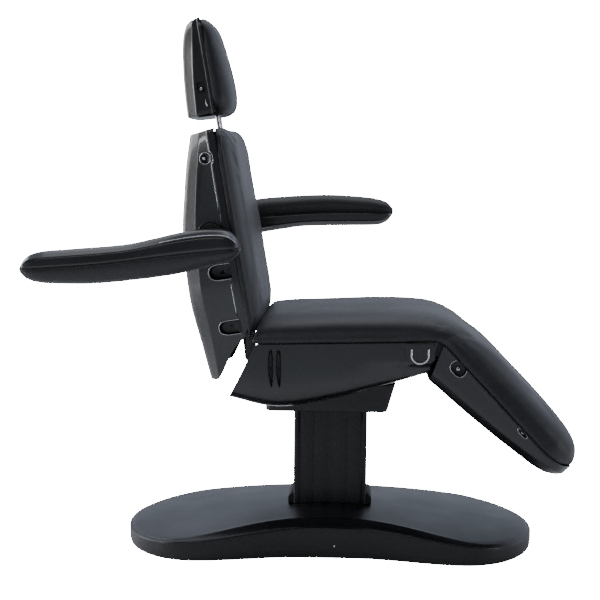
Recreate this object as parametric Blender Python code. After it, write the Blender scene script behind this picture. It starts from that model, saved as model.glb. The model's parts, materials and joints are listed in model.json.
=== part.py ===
"""Electric facial treatment bed: a telescopic column on a dog-bone base carries a seat, a reclining
backrest with a sliding headrest and two swinging arms, and a lifting leg rest.

Metres. +X points to the feet, +Z up, and the origin is on the floor at the column's axis.
"""

import math

import bmesh
import bpy
from mathutils import Matrix, Vector

GAP = 0.0003          # what touching pieces keep between them
RUNNING = 0.0015      # what moving pieces keep between them
PLASTIC = 0.003       # wall of every moulded shell

# Base
BASE_CENTRE_X = 0.0
BASE_HALF_LENGTH = 0.515
BASE_WAIST = 0.240
BASE_LOBE = 0.290
BASE_END_START = 0.33     # where the lobes turn into the round ends
PLATE_THICKNESS = 0.010
PLATE_INSET = 0.014
COVER_BOTTOM = 0.003
COVER_EDGE_LOW = 0.0415   # height of the cover's top edge at the ends
COVER_EDGE_HIGH = 0.093   # and at the column
COVER_CROWN = 0.010

# Column: half sizes of the three stages, outermost first
OUTER_HALF = (0.0925, 0.075)
MIDDLE_HALF = (0.084, 0.0675)
INNER_HALF = (0.0775, 0.061)
COLUMN_WALL = 0.004
OUTER_TOP = 0.3445
STAGE_BOTTOM = 0.030
HEAD_PLATE_Z = 0.400

# Joint axes, all along Y
KNEE = Vector((0.260, 0.0, 0.532))
HIP = Vector((-0.190, 0.0, 0.545))
ARM_PIVOT = Vector((-0.285, 0.0, 0.782))
LEAN = math.radians(10.0)         # backrest's lean behind upright
SEAT_RISE = math.radians(1.5)     # the seat climbs towards the knee
LEG_DROP = math.radians(46.5)     # leg rest's slope below level
ARM_SWUNG = math.radians(183.7)   # how far the right arm is swung over the top

# Seat
SEAM_ABOVE_KNEE = 0.0085          # board's top plane over the knee axis
BOARD = 0.010
SEAT_CUSHION = 0.073
SEAT_HALF = 0.298
RAIL_Y = 0.262                    # inner face of the seat frame's side plates
RAIL_THICKNESS = 0.006
HINGE_ARM_Y = 0.240               # inner face of the moving hinge arms
HINGE_ARM_THICKNESS = 0.008
DRIVE_Y = 0.050                   # back drive at +Y, leg drive at -Y
BACK_DRIVE_FOOT = Vector((0.150, 0.0, 0.432))
BACK_DRIVE_EYE = Vector((-0.212, 0.0, 0.459))
LEG_DRIVE_FOOT = Vector((-0.010, 0.0, 0.432))
LEG_DRIVE_EYE = Vector((0.2389, 0.0, 0.4867))

# Backrest, in its own frame: x forward, z up the back, origin at the hip
BACK_HALF = 0.286
BACK_SEAM = -0.0045               # rear plane of the cushion
BACK_TOP = 0.493
ROD_X = -0.0115
ROD_Y = 0.035
ROD_R = 0.005
HUB_R = 0.032

# Leg rest, in its own frame: x along the leg, z out of its top, origin at the knee
LEG_LENGTH = 0.447
LEG_HALF = 0.290
LEG_HALF_TIP = 0.272

# Arms, in their own frame: x along the arm, z up, origin at the pivot
ARM_INNER = 0.306
ARM_WIDTH = 0.096

ROUND = 18


# ---------------------------------------------------------------- helpers

def material(name, colour, roughness, metallic=0.0):
    mat = bpy.data.materials.new(name)
    mat.use_nodes = True
    shader = mat.node_tree.nodes["Principled BSDF"]
    shader.inputs["Base Color"].default_value = (*colour, 1.0)
    shader.inputs["Roughness"].default_value = roughness
    shader.inputs["Metallic"].default_value = metallic
    return mat


def empty(name, location=(0, 0, 0), turn_y=0.0, parent=None):
    """An empty at a world place, which stays there under its parent."""
    obj = bpy.data.objects.new(name, None)
    bpy.context.scene.collection.objects.link(obj)
    world = Matrix.Translation(location) @ Matrix.Rotation(turn_y, 4, "Y")
    obj.matrix_world = world
    if parent:
        obj.parent = parent
        bpy.context.view_layer.update()
        obj.matrix_parent_inverse = parent.matrix_world.inverted()
        obj.matrix_world = world
    bpy.context.view_layer.update()
    return obj


def finish_mesh(bm, name):
    bmesh.ops.remove_doubles(bm, verts=bm.verts, dist=1e-6)
    bmesh.ops.recalc_face_normals(bm, faces=bm.faces)
    mesh = bpy.data.meshes.new(name)
    bm.to_mesh(mesh)
    bm.free()
    mesh.shade_smooth()
    mesh.set_sharp_from_angle(angle=math.radians(35))
    return mesh


def piece(name, bm, mat, parent):
    obj = bpy.data.objects.new(name, finish_mesh(bm, name))
    obj.data.materials.append(mat)
    obj.parent = parent
    bpy.context.scene.collection.objects.link(obj)
    return obj


def helper(obj, bm, operation):
    tool = bpy.data.objects.new(obj.name + ".tool", finish_mesh(bm, obj.name + ".tool"))
    tool.parent = obj.parent
    tool.hide_render = True
    tool.display_type = "WIRE"
    bpy.context.scene.collection.objects.link(tool)
    mod = obj.modifiers.new(operation.lower(), "BOOLEAN")
    mod.operation = operation
    mod.object = tool
    mod.solver = "EXACT"


def cut(obj, *shapes):
    for shape in shapes:
        helper(obj, shape, "DIFFERENCE")


def weld(obj, *shapes):
    for shape in shapes:
        helper(obj, shape, "UNION")


def loft(rings, capped=True):
    """A skin over rings of equal length; each ring is closed."""
    bm = bmesh.new()
    loops = [[bm.verts.new(p) for p in ring] for ring in rings]
    count = len(loops[0])
    for low, high in zip(loops, loops[1:]):
        for i in range(count):
            j = (i + 1) % count
            bm.faces.new((low[i], low[j], high[j], high[i]))
    if capped:
        bm.faces.new(list(reversed(loops[0])))
        bm.faces.new(loops[-1])
    return bm


def sheet(rows):
    """An open skin over rows of equal length."""
    bm = bmesh.new()
    lines = [[bm.verts.new(p) for p in row] for row in rows]
    for low, high in zip(lines, lines[1:]):
        for i in range(len(low) - 1):
            bm.faces.new((low[i], low[i + 1], high[i + 1], high[i]))
    return bm


def box(low, high):
    x0, y0, z0 = low
    x1, y1, z1 = high
    return loft([[(x0, y0, z), (x1, y0, z), (x1, y1, z), (x0, y1, z)] for z in (z0, z1)])


def prism(outline, y0, y1):
    """An outline of (x, z) points, extruded along Y."""
    return loft([[(x, y, z) for x, z in outline] for y in (y0, y1)])


def upright(outline, z0, z1):
    """An outline of (x, y) points, extruded along Z."""
    return loft([[(x, y, z) for x, y in outline] for z in (z0, z1)])


def rod(start, end, radius, sides=ROUND):
    start, end = Vector(start), Vector(end)
    turn = (end - start).to_track_quat("Z", "Y").to_matrix()
    angles = [math.tau * i / sides for i in range(sides)]
    rim = [turn @ Vector((radius * math.cos(a), radius * math.sin(a), 0)) for a in angles]
    return loft([[centre + point for point in rim] for centre in (start, end)])


def along_y(centre, y0, y1, radius, sides=ROUND):
    return rod((centre[0], y0, centre[1]), (centre[0], y1, centre[1]), radius, sides)


def arc(centre, radius, start, stop, steps):
    """Points on a circle; angles in degrees, counterclockwise."""
    angles = [math.radians(start + (stop - start) * i / steps) for i in range(steps + 1)]
    return [(centre[0] + radius * math.cos(a), centre[1] + radius * math.sin(a)) for a in angles]


def rounded_rectangle(half_x, half_y, radius, steps=3, centre_x=0.0):
    outline = []
    corners = ((1, 1, 0), (-1, 1, 90), (-1, -1, 180), (1, -1, 270))
    for sx, sy, start in corners:
        middle = (centre_x + sx * (half_x - radius), sy * (half_y - radius))
        outline += arc(middle, radius, start, start + 90, steps)
    return outline


def lug(far, near, radius, near_half):
    """A link's side outline: a round end about `far`, straight flanks to a square end at `near`."""
    far, near = Vector(far), Vector(near)
    way = (near - far).normalized()
    side = Vector((-way.y, way.x))
    heading = math.degrees(math.atan2(way.y, way.x))
    round_end = arc(far, radius, heading + 90, heading + 270, 10)
    return round_end + [tuple(near - side * near_half), tuple(near + side * near_half)]


def smooth(points, x):
    """A curve through (x, value) points, read at x."""
    if x <= points[0][0]:
        return points[0][1]
    for i in range(len(points) - 1):
        (x0, v0), (x1, v1) = points[i], points[i + 1]
        if x <= x1:
            before = points[i - 1] if i else (2 * x0 - x1, 2 * v0 - v1)
            after = points[i + 2] if i + 2 < len(points) else (2 * x1 - x0, 2 * v1 - v0)
            t = (x - x0) / (x1 - x0)
            m0 = (v1 - before[1]) / (x1 - before[0]) * (x1 - x0)
            m1 = (after[1] - v0) / (after[0] - x0) * (x1 - x0)
            return ((2 * t**3 - 3 * t**2 + 1) * v0 + (t**3 - 2 * t**2 + t) * m0
                    + (3 * t**2 - 2 * t**3) * v1 + (t**3 - t**2) * m1)
    return points[-1][1]


def spread(low, high, count):
    return [low + (high - low) * i / (count - 1) for i in range(count)]


def solidify(obj, thickness=PLASTIC):
    mod = obj.modifiers.new("wall", "SOLIDIFY")
    mod.thickness = thickness
    mod.offset = -1.0
    return obj


def pillow(outline, anchor, half_width, middle_y=0.0, edge=0.030):
    """A cushion: a side outline of (x, z) points, drawn in towards `anchor` near both ends of its width."""
    steps = ((0.0, 0.86, 0.80), (0.12, 0.93, 0.90), (0.40, 0.98, 0.97), (1.0, 1.0, 1.0))
    stations = [(-half_width + edge * s, sx, sz) for s, sx, sz in steps]
    stations += [(half_width - edge * s, sx, sz) for s, sx, sz in reversed(steps)]
    rings = []
    for y, sx, sz in stations:
        rings.append([(anchor[0] + (x - anchor[0]) * sx, middle_y + y, anchor[1] + (z - anchor[1]) * sz)
                      for x, z in outline])
    return loft(rings)


# ---------------------------------------------------------------- base

def base_half_width(x):
    """Half the base's width at x from its middle: a waist that swells to two lobes, then elliptic ends."""
    x = abs(x)
    if x > BASE_END_START:
        share = (x - BASE_END_START) / (BASE_HALF_LENGTH - BASE_END_START)
        return BASE_LOBE * math.sqrt(max(0.0, 1.0 - share**2))
    swell = max(0.0, (x - 0.06) / (BASE_END_START - 0.06))
    return BASE_WAIST + (BASE_LOBE - BASE_WAIST) * (3 * swell**2 - 2 * swell**3)


def base_outline(inset=0.0):
    """The plan of the base, drawn in by `inset`, with closer points where the ends turn."""
    quarter = [BASE_HALF_LENGTH * math.sin(math.radians(turn)) ** 0.8 for turn in spread(0.0, 90.0, 15)]
    right = [(x, base_half_width(x)) for x in quarter]
    top = right[::-1] + [(-x, w) for x, w in right[1:]]
    ring = top + [(x, -w) for x, w in top[::-1][1:-1]]
    if inset:
        pulled = []
        count = len(ring)
        for i, (x, y) in enumerate(ring):
            ax, ay = ring[i - 1]
            bx, by = ring[(i + 1) % count]
            length = math.hypot(bx - ax, by - ay)
            nx, ny = (by - ay) / length, -(bx - ax) / length
            if nx * x + ny * y < 0 and abs(y) > 0.05:
                nx, ny = -nx, -ny
            pulled.append((x - nx * inset, y - ny * inset))
        ring = pulled
    return [(x + BASE_CENTRE_X, y) for x, y in ring]


def cover_edge(x):
    reach = min(1.0, abs(x - BASE_CENTRE_X) / BASE_HALF_LENGTH)
    return COVER_EDGE_LOW + (COVER_EDGE_HIGH - COVER_EDGE_LOW) * math.cos(reach * math.pi / 2) ** 2


def waist_weight(x):
    return max(0.0, 1.0 - ((x - BASE_CENTRE_X) / 0.32) ** 2)


def make_base(mats, root):
    plate = piece("base_plate", upright(base_outline(PLATE_INSET), 0.0, PLATE_THICKNESS), mats["steel"], root)
    for number, (sx, sy) in enumerate(((1, 1), (-1, 1), (-1, -1), (1, -1)), 1):
        x, y = BASE_CENTRE_X + sx * 0.36, sy * 0.20
        cut(plate, rod((x, y, -0.01), (x, y, 0.03), 0.0064))
        piece(f"levelling_screw_{number}", rod((x, y, 0.0), (x, y, 0.028), 0.006), mats["chrome"], root)

    plan = base_outline()
    rings = [[(x, y, COVER_BOTTOM) for x, y in base_outline(0.003)],
             [(x, y, 0.022) for x, y in plan],
             [(x, y, cover_edge(x) - 0.005 - 0.011 * waist_weight(x)) for x, y in plan]]
    for share, inset in ((0.75, 0.25), (1.0, 1.0)):
        ring = []
        for x, y in plan:
            drop = (0.005 + 0.011 * waist_weight(x)) * (1 - share)
            pull = (0.012 + 0.024 * waist_weight(x)) * inset
            along = x - BASE_CENTRE_X
            size = max(1e-6, math.hypot(along, y))
            nx = 0.0 if abs(along) < 0.34 else along / size
            ny = math.copysign(1.0, y) if abs(along) < 0.34 else y / size
            if abs(y) < 1e-9:
                ny = 0.0
            ring.append((x - nx * pull, y - ny * pull, cover_edge(x) - drop))
        rings.append(ring)
    edge = rings[-1]
    for across, rise in ((0.60, 0.65), (0.12, 1.0)):
        rings.append([(BASE_CENTRE_X + (x - BASE_CENTRE_X) * (0.90 + 0.10 * across), y * across,
                       cover_edge(x * 0.97) + COVER_CROWN * rise) for x, y, _ in edge])
    bm = loft(rings, capped=False)
    bm.verts.ensure_lookup_table()
    last = bm.verts[-len(plan):]
    half = len(plan) // 2
    bm.faces.new((last[0], last[1], last[-1]))
    for i in range(1, half - 1):
        bm.faces.new((last[i], last[i + 1], last[-i - 1], last[-i]))
    bm.faces.new((last[half - 1], last[half], last[half + 1]))
    cover = solidify(piece("base_cover", bm, mats["gloss"], root))
    hole = (OUTER_HALF[0] + 0.004, OUTER_HALF[1] + 0.004)
    cut(cover, box((-hole[0], -hole[1], 0.05), (hole[0], hole[1], 0.16)))
    inlet_y = base_half_width(-0.20) - 0.010
    cut(cover, box((-0.222, inlet_y - 0.02, 0.030), (-0.178, inlet_y + 0.04, 0.055)))

    inlet = piece("mains_inlet", box((-0.2215, inlet_y - 0.024, 0.0305), (-0.1785, inlet_y + 0.011, 0.0545)),
                  mats["matte"], root)
    cut(inlet, box((-0.214, inlet_y - 0.008, 0.0345), (-0.186, inlet_y + 0.03, 0.0505)))


def stage(name, half, bottom, top, mat, parent, outline=None):
    obj = piece(name, upright(outline or rounded_rectangle(*half, 0.008), bottom, top), mat, parent)
    inner = (half[0] - COLUMN_WALL, half[1] - COLUMN_WALL)
    cut(obj, upright(rounded_rectangle(*inner, 0.005), bottom - 0.01, top + 0.01))
    return obj


def ribbed_outline(half_x, half_y):
    """The outer stage's section: round corners, and grooves down its two long faces."""
    grooves = ((-0.0755, 0.0015, 0.0018), (-0.042, 0.0015, 0.0018), (0.0, 0.0060, 0.0012),
               (0.042, 0.0015, 0.0018), (0.0755, 0.0015, 0.0018))
    face = []
    for middle, half, depth in grooves:
        face += [(middle - half, 0.0), (middle - half, depth), (middle + half, depth), (middle + half, 0.0)]
    radius = 0.008
    outline = arc((half_x - radius, -(half_y - radius)), radius, -90, 0, 3)
    outline += arc((half_x - radius, half_y - radius), radius, 0, 90, 3)
    outline += [(x, half_y - depth) for x, depth in reversed(face)]
    outline += arc((-(half_x - radius), half_y - radius), radius, 90, 180, 3)
    outline += arc((-(half_x - radius), -(half_y - radius)), radius, 180, 270, 3)
    return outline + [(x, depth - half_y) for x, depth in face]


def make_column(mats, root, middle, seat):
    floor = PLATE_THICKNESS + GAP
    stage("column_outer", OUTER_HALF, floor, OUTER_TOP, mats["satin"], root, ribbed_outline(*OUTER_HALF))
    collar_z = COVER_EDGE_HIGH + COVER_CROWN - 0.0010
    plan = rounded_rectangle(OUTER_HALF[0] + 0.014, OUTER_HALF[1] + 0.004, 0.006)
    collar = piece("column_collar", upright(plan, collar_z, collar_z + 0.021), mats["satin"], root)
    cut(collar, upright(rounded_rectangle(OUTER_HALF[0] + GAP, OUTER_HALF[1] + GAP, 0.008), 0.05, 0.2))
    piece("lift_spindle", rod((0, 0, floor), (0, 0, 0.300), 0.010), mats["chrome"], root)
    piece("lift_motor", rod((0.112, 0, 0.041), (0.240, 0, 0.041), 0.026), mats["steel"], root)

    tube = stage("column_middle", MIDDLE_HALF, STAGE_BOTTOM, OUTER_TOP - 0.002, mats["steel"], middle)
    inner = (MIDDLE_HALF[0] - 0.002, MIDDLE_HALF[1] - 0.002)
    weld(tube, upright(rounded_rectangle(*inner, 0.005), STAGE_BOTTOM + 0.001, STAGE_BOTTOM + 0.009))
    cut(tube, rod((0, 0, 0), (0, 0, 0.06), 0.0115))
    nut = piece("lift_nut", rod((0, 0, STAGE_BOTTOM + 0.0095), (0, 0, STAGE_BOTTOM + 0.055), 0.022), mats["brass"],
                middle)
    cut(nut, rod((0, 0, 0), (0, 0, 0.2), 0.0105))

    stage("column_inner", INNER_HALF, STAGE_BOTTOM + 0.020, HEAD_PLATE_Z - GAP, mats["steel"], seat)


# ---------------------------------------------------------------- seat

def seam_z(x):
    """Top plane of the seat board."""
    return KNEE.z + SEAM_ABOVE_KNEE + (x - KNEE.x) * math.tan(SEAT_RISE)


SHELL_SECTION = ((1.0, 0.0), (0.997, 0.18), (0.985, 0.42), (0.955, 0.66), (0.90, 0.85), (0.80, 0.97), (0.60, 1.0),
                 (0.30, 1.0))


def section_row(half, low_half, place):
    """A row of points round a shell's section; place(depth share) gives x and z."""
    side = []
    for across, depth in SHELL_SECTION:
        y = half * across if depth < 1.0 else low_half * across
        side.append((y, depth))
    full = side + [(0.0, 1.0)] + [(-y, depth) for y, depth in reversed(side)]
    return [(place(depth)[0], y, place(depth)[1]) for y, depth in full]


def seat_shell_row(share):
    rear_top, rear_low = -0.180, -0.247
    front_top, front_low = KNEE.x - 0.004, 0.234
    keel = ((-0.25, 0.391), (-0.13, 0.366), (0.0, 0.386), (0.13, 0.423), (0.24, 0.459))

    def place(depth):
        rear = rear_top + (rear_low - rear_top) * depth
        front = front_top + (front_low - front_top) * depth
        x = rear + (front - rear) * share
        top = seam_z(x) - 0.001
        return x, top + (smooth(keel, x) - top) * depth

    return section_row(SEAT_HALF, SEAT_HALF, place)


def head_cover_ring(z_share, grow=0.0):
    """A ring of the pan under the seat; it leans out towards the front as it rises."""
    low = rounded_rectangle(0.151 + grow, 0.150 + grow, 0.020, 3, -0.010)
    ring = []
    for x, y in low:
        front = max(0.0, (x + 0.162) / 0.324)
        top = 0.384 + 0.036 * front
        ring.append((x + 0.022 * front * z_share, y * (1 + 0.03 * z_share), 0.346 + (top - 0.346) * z_share))
    return ring


def make_seat(mats, seat):
    piece("head_plate", box((-0.105, -0.135, HEAD_PLATE_Z), (0.130, 0.135, HEAD_PLATE_Z + 0.008)),
          mats["steel"], seat)

    bm = loft([head_cover_ring(1.0), head_cover_ring(0.0)], capped=False)
    bm.verts.ensure_lookup_table()
    count = len(head_cover_ring(0.0))
    bm.faces.new(bm.verts[-count:])
    pan = solidify(piece("head_cover", bm, mats["satin"], seat))
    cut(pan, box((-INNER_HALF[0] - 0.002, -INNER_HALF[1] - 0.002, 0.30),
                 (INNER_HALF[0] + 0.002, INNER_HALF[1] + 0.002, 0.40)))

    shell = solidify(piece("seat_shell", sheet([seat_shell_row(s) for s in spread(0, 1, 15)]), mats["gloss"], seat))
    opening = rounded_rectangle(0.172, 0.162, 0.020, 3, 0.003)
    cut(shell, upright(opening, 0.30, 0.47))

    make_seat_frame(mats, seat)
    piece("seat_board", prism([(-0.085, seam_z(-0.085) - BOARD), (0.245, seam_z(0.245) - BOARD),
                               (0.245, seam_z(0.245) - GAP), (-0.085, seam_z(-0.085) - GAP)], -0.284, 0.284),
          mats["wood"], seat)
    front = KNEE.x - RUNNING
    outline = [(-0.168, seam_z(-0.168) + GAP), (front, seam_z(front) + GAP), (front, seam_z(front) + SEAT_CUSHION),
               (0.10, seam_z(0.10) + SEAT_CUSHION + 0.004), (-0.04, seam_z(-0.04) + SEAT_CUSHION + 0.001),
               (-0.128, 0.604), (-0.149, 0.596), (-0.159, 0.575), (-0.168, 0.550)]
    rings = []
    for y, shrink, lift in ((0.298, 0.004, 0.82), (0.294, 0.001, 0.91), (0.275, 0.0, 0.97), (0.22, 0.0, 1.0),
                            (0.0, 0.0, 1.0)):
        rings.append([(max(x, -0.168 + shrink), -y, seam_z(x) + GAP + (z - seam_z(x) - GAP) * lift)
                      for x, z in outline])
    rings += [[(x, -y, z) for x, y, z in ring] for ring in reversed(rings[:-1])]
    piece("seat_cushion", loft(rings), mats["vinyl"], seat)

    start = math.degrees(math.pi / 2 + SEAT_RISE)
    stop = math.degrees(math.pi / 2 - LEG_DROP)
    centre = (KNEE.x, KNEE.z)
    trim = math.degrees(0.0032 / 0.080)
    outer = arc(centre, SEAM_ABOVE_KNEE + SEAT_CUSHION - 0.004, start - trim, stop + trim, 8)
    inner = arc(centre, 0.026, stop + 8.5, start - 8.5, 4)
    piece("knee_foam", prism(outer + inner, -0.288, 0.288), mats["vinyl"], seat)

    piece("control_box", box((0.024, -0.240, 0.482), (0.124, -0.150, 0.5215)), mats["matte"], seat)
    plate_top = 0.536
    hook = [(0.180, 0.493), (0.243, 0.493), (0.249, 0.500), (0.249, plate_top - 0.004), (0.245, plate_top),
            (0.180, plate_top)]
    piece("hook_plate", prism(hook, -0.3040, -0.2985), mats["gloss"], seat)
    for side, sign in (("left", 1), ("right", -1)):
        for joint, at in (("back", HIP), ("leg", KNEE)):
            y = sorted((sign * (HINGE_ARM_Y - 0.002), sign * (RAIL_Y + RAIL_THICKNESS + 0.002)))
            radius = 0.0060 if joint == "back" else 0.0040
            piece(f"{joint}_pin_{side}", along_y((at.x, at.z), y[0], y[1], radius), mats["chrome"], seat)


def make_seat_frame(mats, seat):
    """Two side plates with the four hinge ears, cross tubes and a pedestal, welded into one."""
    def rail_top(x):
        return seam_z(x) - BOARD - 2 * GAP

    def side_outline():
        low = 0.026
        ear = arc((HIP.x, HIP.z), 0.012, 180, 0, 8)
        knuckle = arc((KNEE.x, KNEE.z), 0.0078, 0, 180, 8)
        outline = [(HIP.x + 0.012, rail_top(-0.178))] + ear[::-1]
        outline += [(HIP.x - 0.012, rail_top(-0.202) - low), (KNEE.x + 0.0078, rail_top(KNEE.x) - low)]
        outline += knuckle + [(KNEE.x - 0.0078, rail_top(0.252))]
        return outline

    frame = piece("seat_frame", prism(side_outline(), RAIL_Y, RAIL_Y + RAIL_THICKNESS), mats["frame"], seat)
    weld(frame, prism(side_outline(), -RAIL_Y - RAIL_THICKNESS, -RAIL_Y))
    for x in (-0.005, 0.130):
        top = rail_top(x) - 0.0005
        weld(frame, box((x, -RAIL_Y - 0.002, top - 0.022), (x + 0.025, RAIL_Y + 0.002, top)))
    for sign in (1, -1):
        y0, y1 = sorted((sign * 0.126, sign * 0.132))
        post = [(-0.070, HEAD_PLATE_Z + 0.0083), (0.128, HEAD_PLATE_Z + 0.0083), (0.154, 0.510), (-0.050, 0.505)]
        weld(frame, prism(post, y0, y1))
    for hole, radius in ((HIP, 0.0064), (KNEE, 0.0044)):
        cut(frame, along_y((hole.x, hole.z), -0.30, 0.30, radius))


def make_hook_ring(mats, ring_empty):
    """A U of round wire whose two ends turn on the plate; it hangs down."""
    wire = 0.0025
    half = 0.0200
    path = [(-half, 0.0), (-half, -0.014)]
    path += [(-half * math.cos(a), -0.014 - half * math.sin(a)) for a in
             [math.radians(15 * i) for i in range(1, 12)]]
    path += [(half, -0.014), (half, 0.0)]
    rings = []
    for i, (x, z) in enumerate(path):
        ahead = Vector(path[min(i + 1, len(path) - 1)]) - Vector(path[max(i - 1, 0)])
        ahead.normalize()
        side = Vector((-ahead.y, ahead.x))
        ring = []
        for k in range(10):
            a = math.tau * k / 10
            ring.append((x + side.x * wire * math.cos(a), wire * math.sin(a), z + side.y * wire * math.cos(a)))
        rings.append(ring)
    piece("hook_ring", loft(rings), mats["chrome"], ring_empty)


# ---------------------------------------------------------------- drives

def make_drive(name, foot, eye, y, tube_end, bore_start, shaft_start, mats, body_empty, rod_empty):
    """A linear drive, drawn from its foot on the seat frame to an eye between two lugs.

    The three distances are along the drive, from the foot.
    """
    heading = (eye - foot).normalized()
    motor_y = y + math.copysign(0.036, y)

    def along(distance, at_y=y):
        point = heading * distance
        return Vector((point.x, at_y, point.z))

    def block(distance, y0, y1, half_x):
        at = along(distance)
        return box((at.x - half_x, y0, at.z - 0.010), (at.x + half_x, y1, at.z + 0.010))

    body = piece(f"{name}_body", rod(along(0.004), along(tube_end), 0.0165), mats["matte"], body_empty)
    weld(body, rod(along(0.028, motor_y), along(0.100, motor_y), 0.019))
    weld(body, block(0.032, min(y, motor_y), max(y, motor_y), 0.010))
    weld(body, block(0.0, y - 0.008, y + 0.008, 0.012))
    cut(body, rod(along(bore_start), along(tube_end + 0.02), 0.0105))
    reach = (eye - foot).length
    shaft = piece(f"{name}_rod", rod(along(shaft_start), along(reach - 0.006), 0.0090), mats["chrome"], rod_empty)
    tip = along(reach)
    weld(shaft, along_y((tip.x, tip.z), y - 0.007, y + 0.007, 0.0135))


# ---------------------------------------------------------------- leg rest

def leg_half_width(x):
    """Half width of the leg rest's plan: a light taper, then a round end."""
    straight = LEG_HALF + (LEG_HALF_TIP - LEG_HALF) * x / LEG_LENGTH
    corner = 0.085
    from_corner = x - (LEG_LENGTH - corner)
    if from_corner <= 0:
        return straight
    return straight - corner + math.sqrt(max(0.0, corner**2 - from_corner**2))


def leg_shell_row(share):
    rear_top, rear_low = 0.0075, 0.049
    keel = ((0.0, -0.080), (0.05, -0.075), (0.13, -0.067), (0.23, -0.055), (0.31, -0.043), (0.39, -0.026),
            (0.435, -0.004), (LEG_LENGTH, 0.004))

    def place(depth):
        rear = rear_top + (rear_low - rear_top) * depth
        x = rear + (LEG_LENGTH - 0.0005 - rear) * share
        top = SEAM_ABOVE_KNEE - 0.001
        return x, top + (smooth(keel, x) - top) * depth

    x_top = place(0.0)[0]
    return section_row(leg_half_width(x_top), leg_half_width(place(1.0)[0]) * 0.97, place)


def make_leg(mats, leg):
    shares = [0.0, 0.12, 0.25, 0.38, 0.51, 0.64, 0.76, 0.85, 0.91, 0.955, 0.985, 1.0]
    solidify(piece("leg_shell", sheet([leg_shell_row(s) for s in shares]), mats["gloss"], leg), 0.0025)
    top = SEAM_ABOVE_KNEE
    board_plan = [(0.022, -0.262), (0.33, -0.248), (0.375, -0.20), (0.375, 0.20), (0.33, 0.248), (0.022, 0.262)]
    piece("leg_board", upright(board_plan, top - 0.008, top - GAP), mats["wood"], leg)

    thick = 0.080
    stations = [(RUNNING, 0.0), (0.10, 0.0), (0.20, 0.0), (0.30, 0.0), (0.36, 0.002), (0.40, 0.008), (0.425, 0.020),
                (0.440, 0.036), (LEG_LENGTH - 0.0005, 0.058)]
    rings = []
    for x, drop in stations:
        half = leg_half_width(min(x, LEG_LENGTH - 0.004))
        low = top + GAP
        high = top + thick - drop
        mid = (low + high) / 2
        ring = [(-half, low), (-half, mid), (-half + 0.010, high - 0.012), (-half + 0.045, high - 0.003), (0, high),
                (half - 0.045, high - 0.003), (half - 0.010, high - 0.012), (half, mid), (half, low)]
        rings.append([(x, y, z) for y, z in ring])
    piece("leg_cushion", loft(rings), mats["vinyl"], leg)

    bar_low, bar_high = -0.018, top - 0.0085
    outline = lug((0, 0), (0.010, -0.006), 0.0078, 0.0078)[:-2]
    outline = outline + [(0.012, bar_low), (0.300, bar_low + 0.006), (0.300, bar_high), (0.012, bar_high)]
    frame = piece("leg_frame", prism(outline, HINGE_ARM_Y, HINGE_ARM_Y + HINGE_ARM_THICKNESS), mats["frame"], leg)
    weld(frame, prism(outline, -HINGE_ARM_Y - HINGE_ARM_THICKNESS, -HINGE_ARM_Y))
    for x in (0.055, 0.270):
        weld(frame, box((x, -HINGE_ARM_Y - 0.002, bar_low + 0.007), (x + 0.020, HINGE_ARM_Y + 0.002, bar_high - 0.001)))
    eye = (0.0183, -0.0465)
    for offset in (0.0115, -0.0165):
        flank = lug(eye, (0.063, -0.013), 0.012, 0.009)
        weld(frame, prism(flank, -DRIVE_Y + offset, -DRIVE_Y + offset + 0.005))
    cut(frame, along_y((0, 0), -0.30, 0.30, 0.0044))


# ---------------------------------------------------------------- backrest

def back_shell_row(share):
    """A row round the back shell at one height; its lower edge slants down behind the hip."""
    lowest = ((0.004, 0.004), (0.023, -0.006), (0.053, -0.031), (0.090, -0.085), (0.105, -0.097), (0.135, -0.092))
    rear = ((-0.10, 0.128), (-0.02, 0.135), (0.10, 0.139), (0.23, 0.131), (0.29, 0.123), (0.35, 0.110), (0.42, 0.093),
            (0.50, 0.068))
    flank = ((-0.10, 0.098), (0.07, 0.098), (0.17, 0.101), (0.30, 0.088), (0.36, 0.075), (0.42, 0.061), (0.50, 0.042))
    width = ((-0.10, 0.236), (-0.03, 0.247), (0.02, 0.257), (0.08, 0.274), (0.14, 0.281), (0.50, 0.281))

    def height(depth):
        low = smooth(lowest, depth)
        return low + (BACK_TOP - low) * share

    half_row = []
    for kind, inset, value in (("rim", 0.0, 0.0055), ("rim", 0.0, 0.023), ("wall", 0.004, 0.030), ("flank", 0.016, 0.5),
                               ("flank", 0.026, 1.0), ("rear", 0.048, 0.97), ("rear", 0.11, 1.0), ("rear", 0.20, 1.0)):
        if kind in ("rim", "wall"):
            depth = value
        elif kind == "flank":
            s = height(0.06)
            depth = 0.030 + (smooth(flank, s) - 0.030) * value
        else:
            depth = smooth(rear, height(0.12)) * value
        s = height(depth)
        half_row.append((max(0.02, smooth(width, s) - inset), depth, s))
    centre = (0.0, half_row[-1][1] + 0.002, half_row[-1][2])
    full = half_row + [centre] + [(-y, depth, s) for y, depth, s in reversed(half_row)]
    return [(-depth, y, s) for y, depth, s in full]


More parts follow.
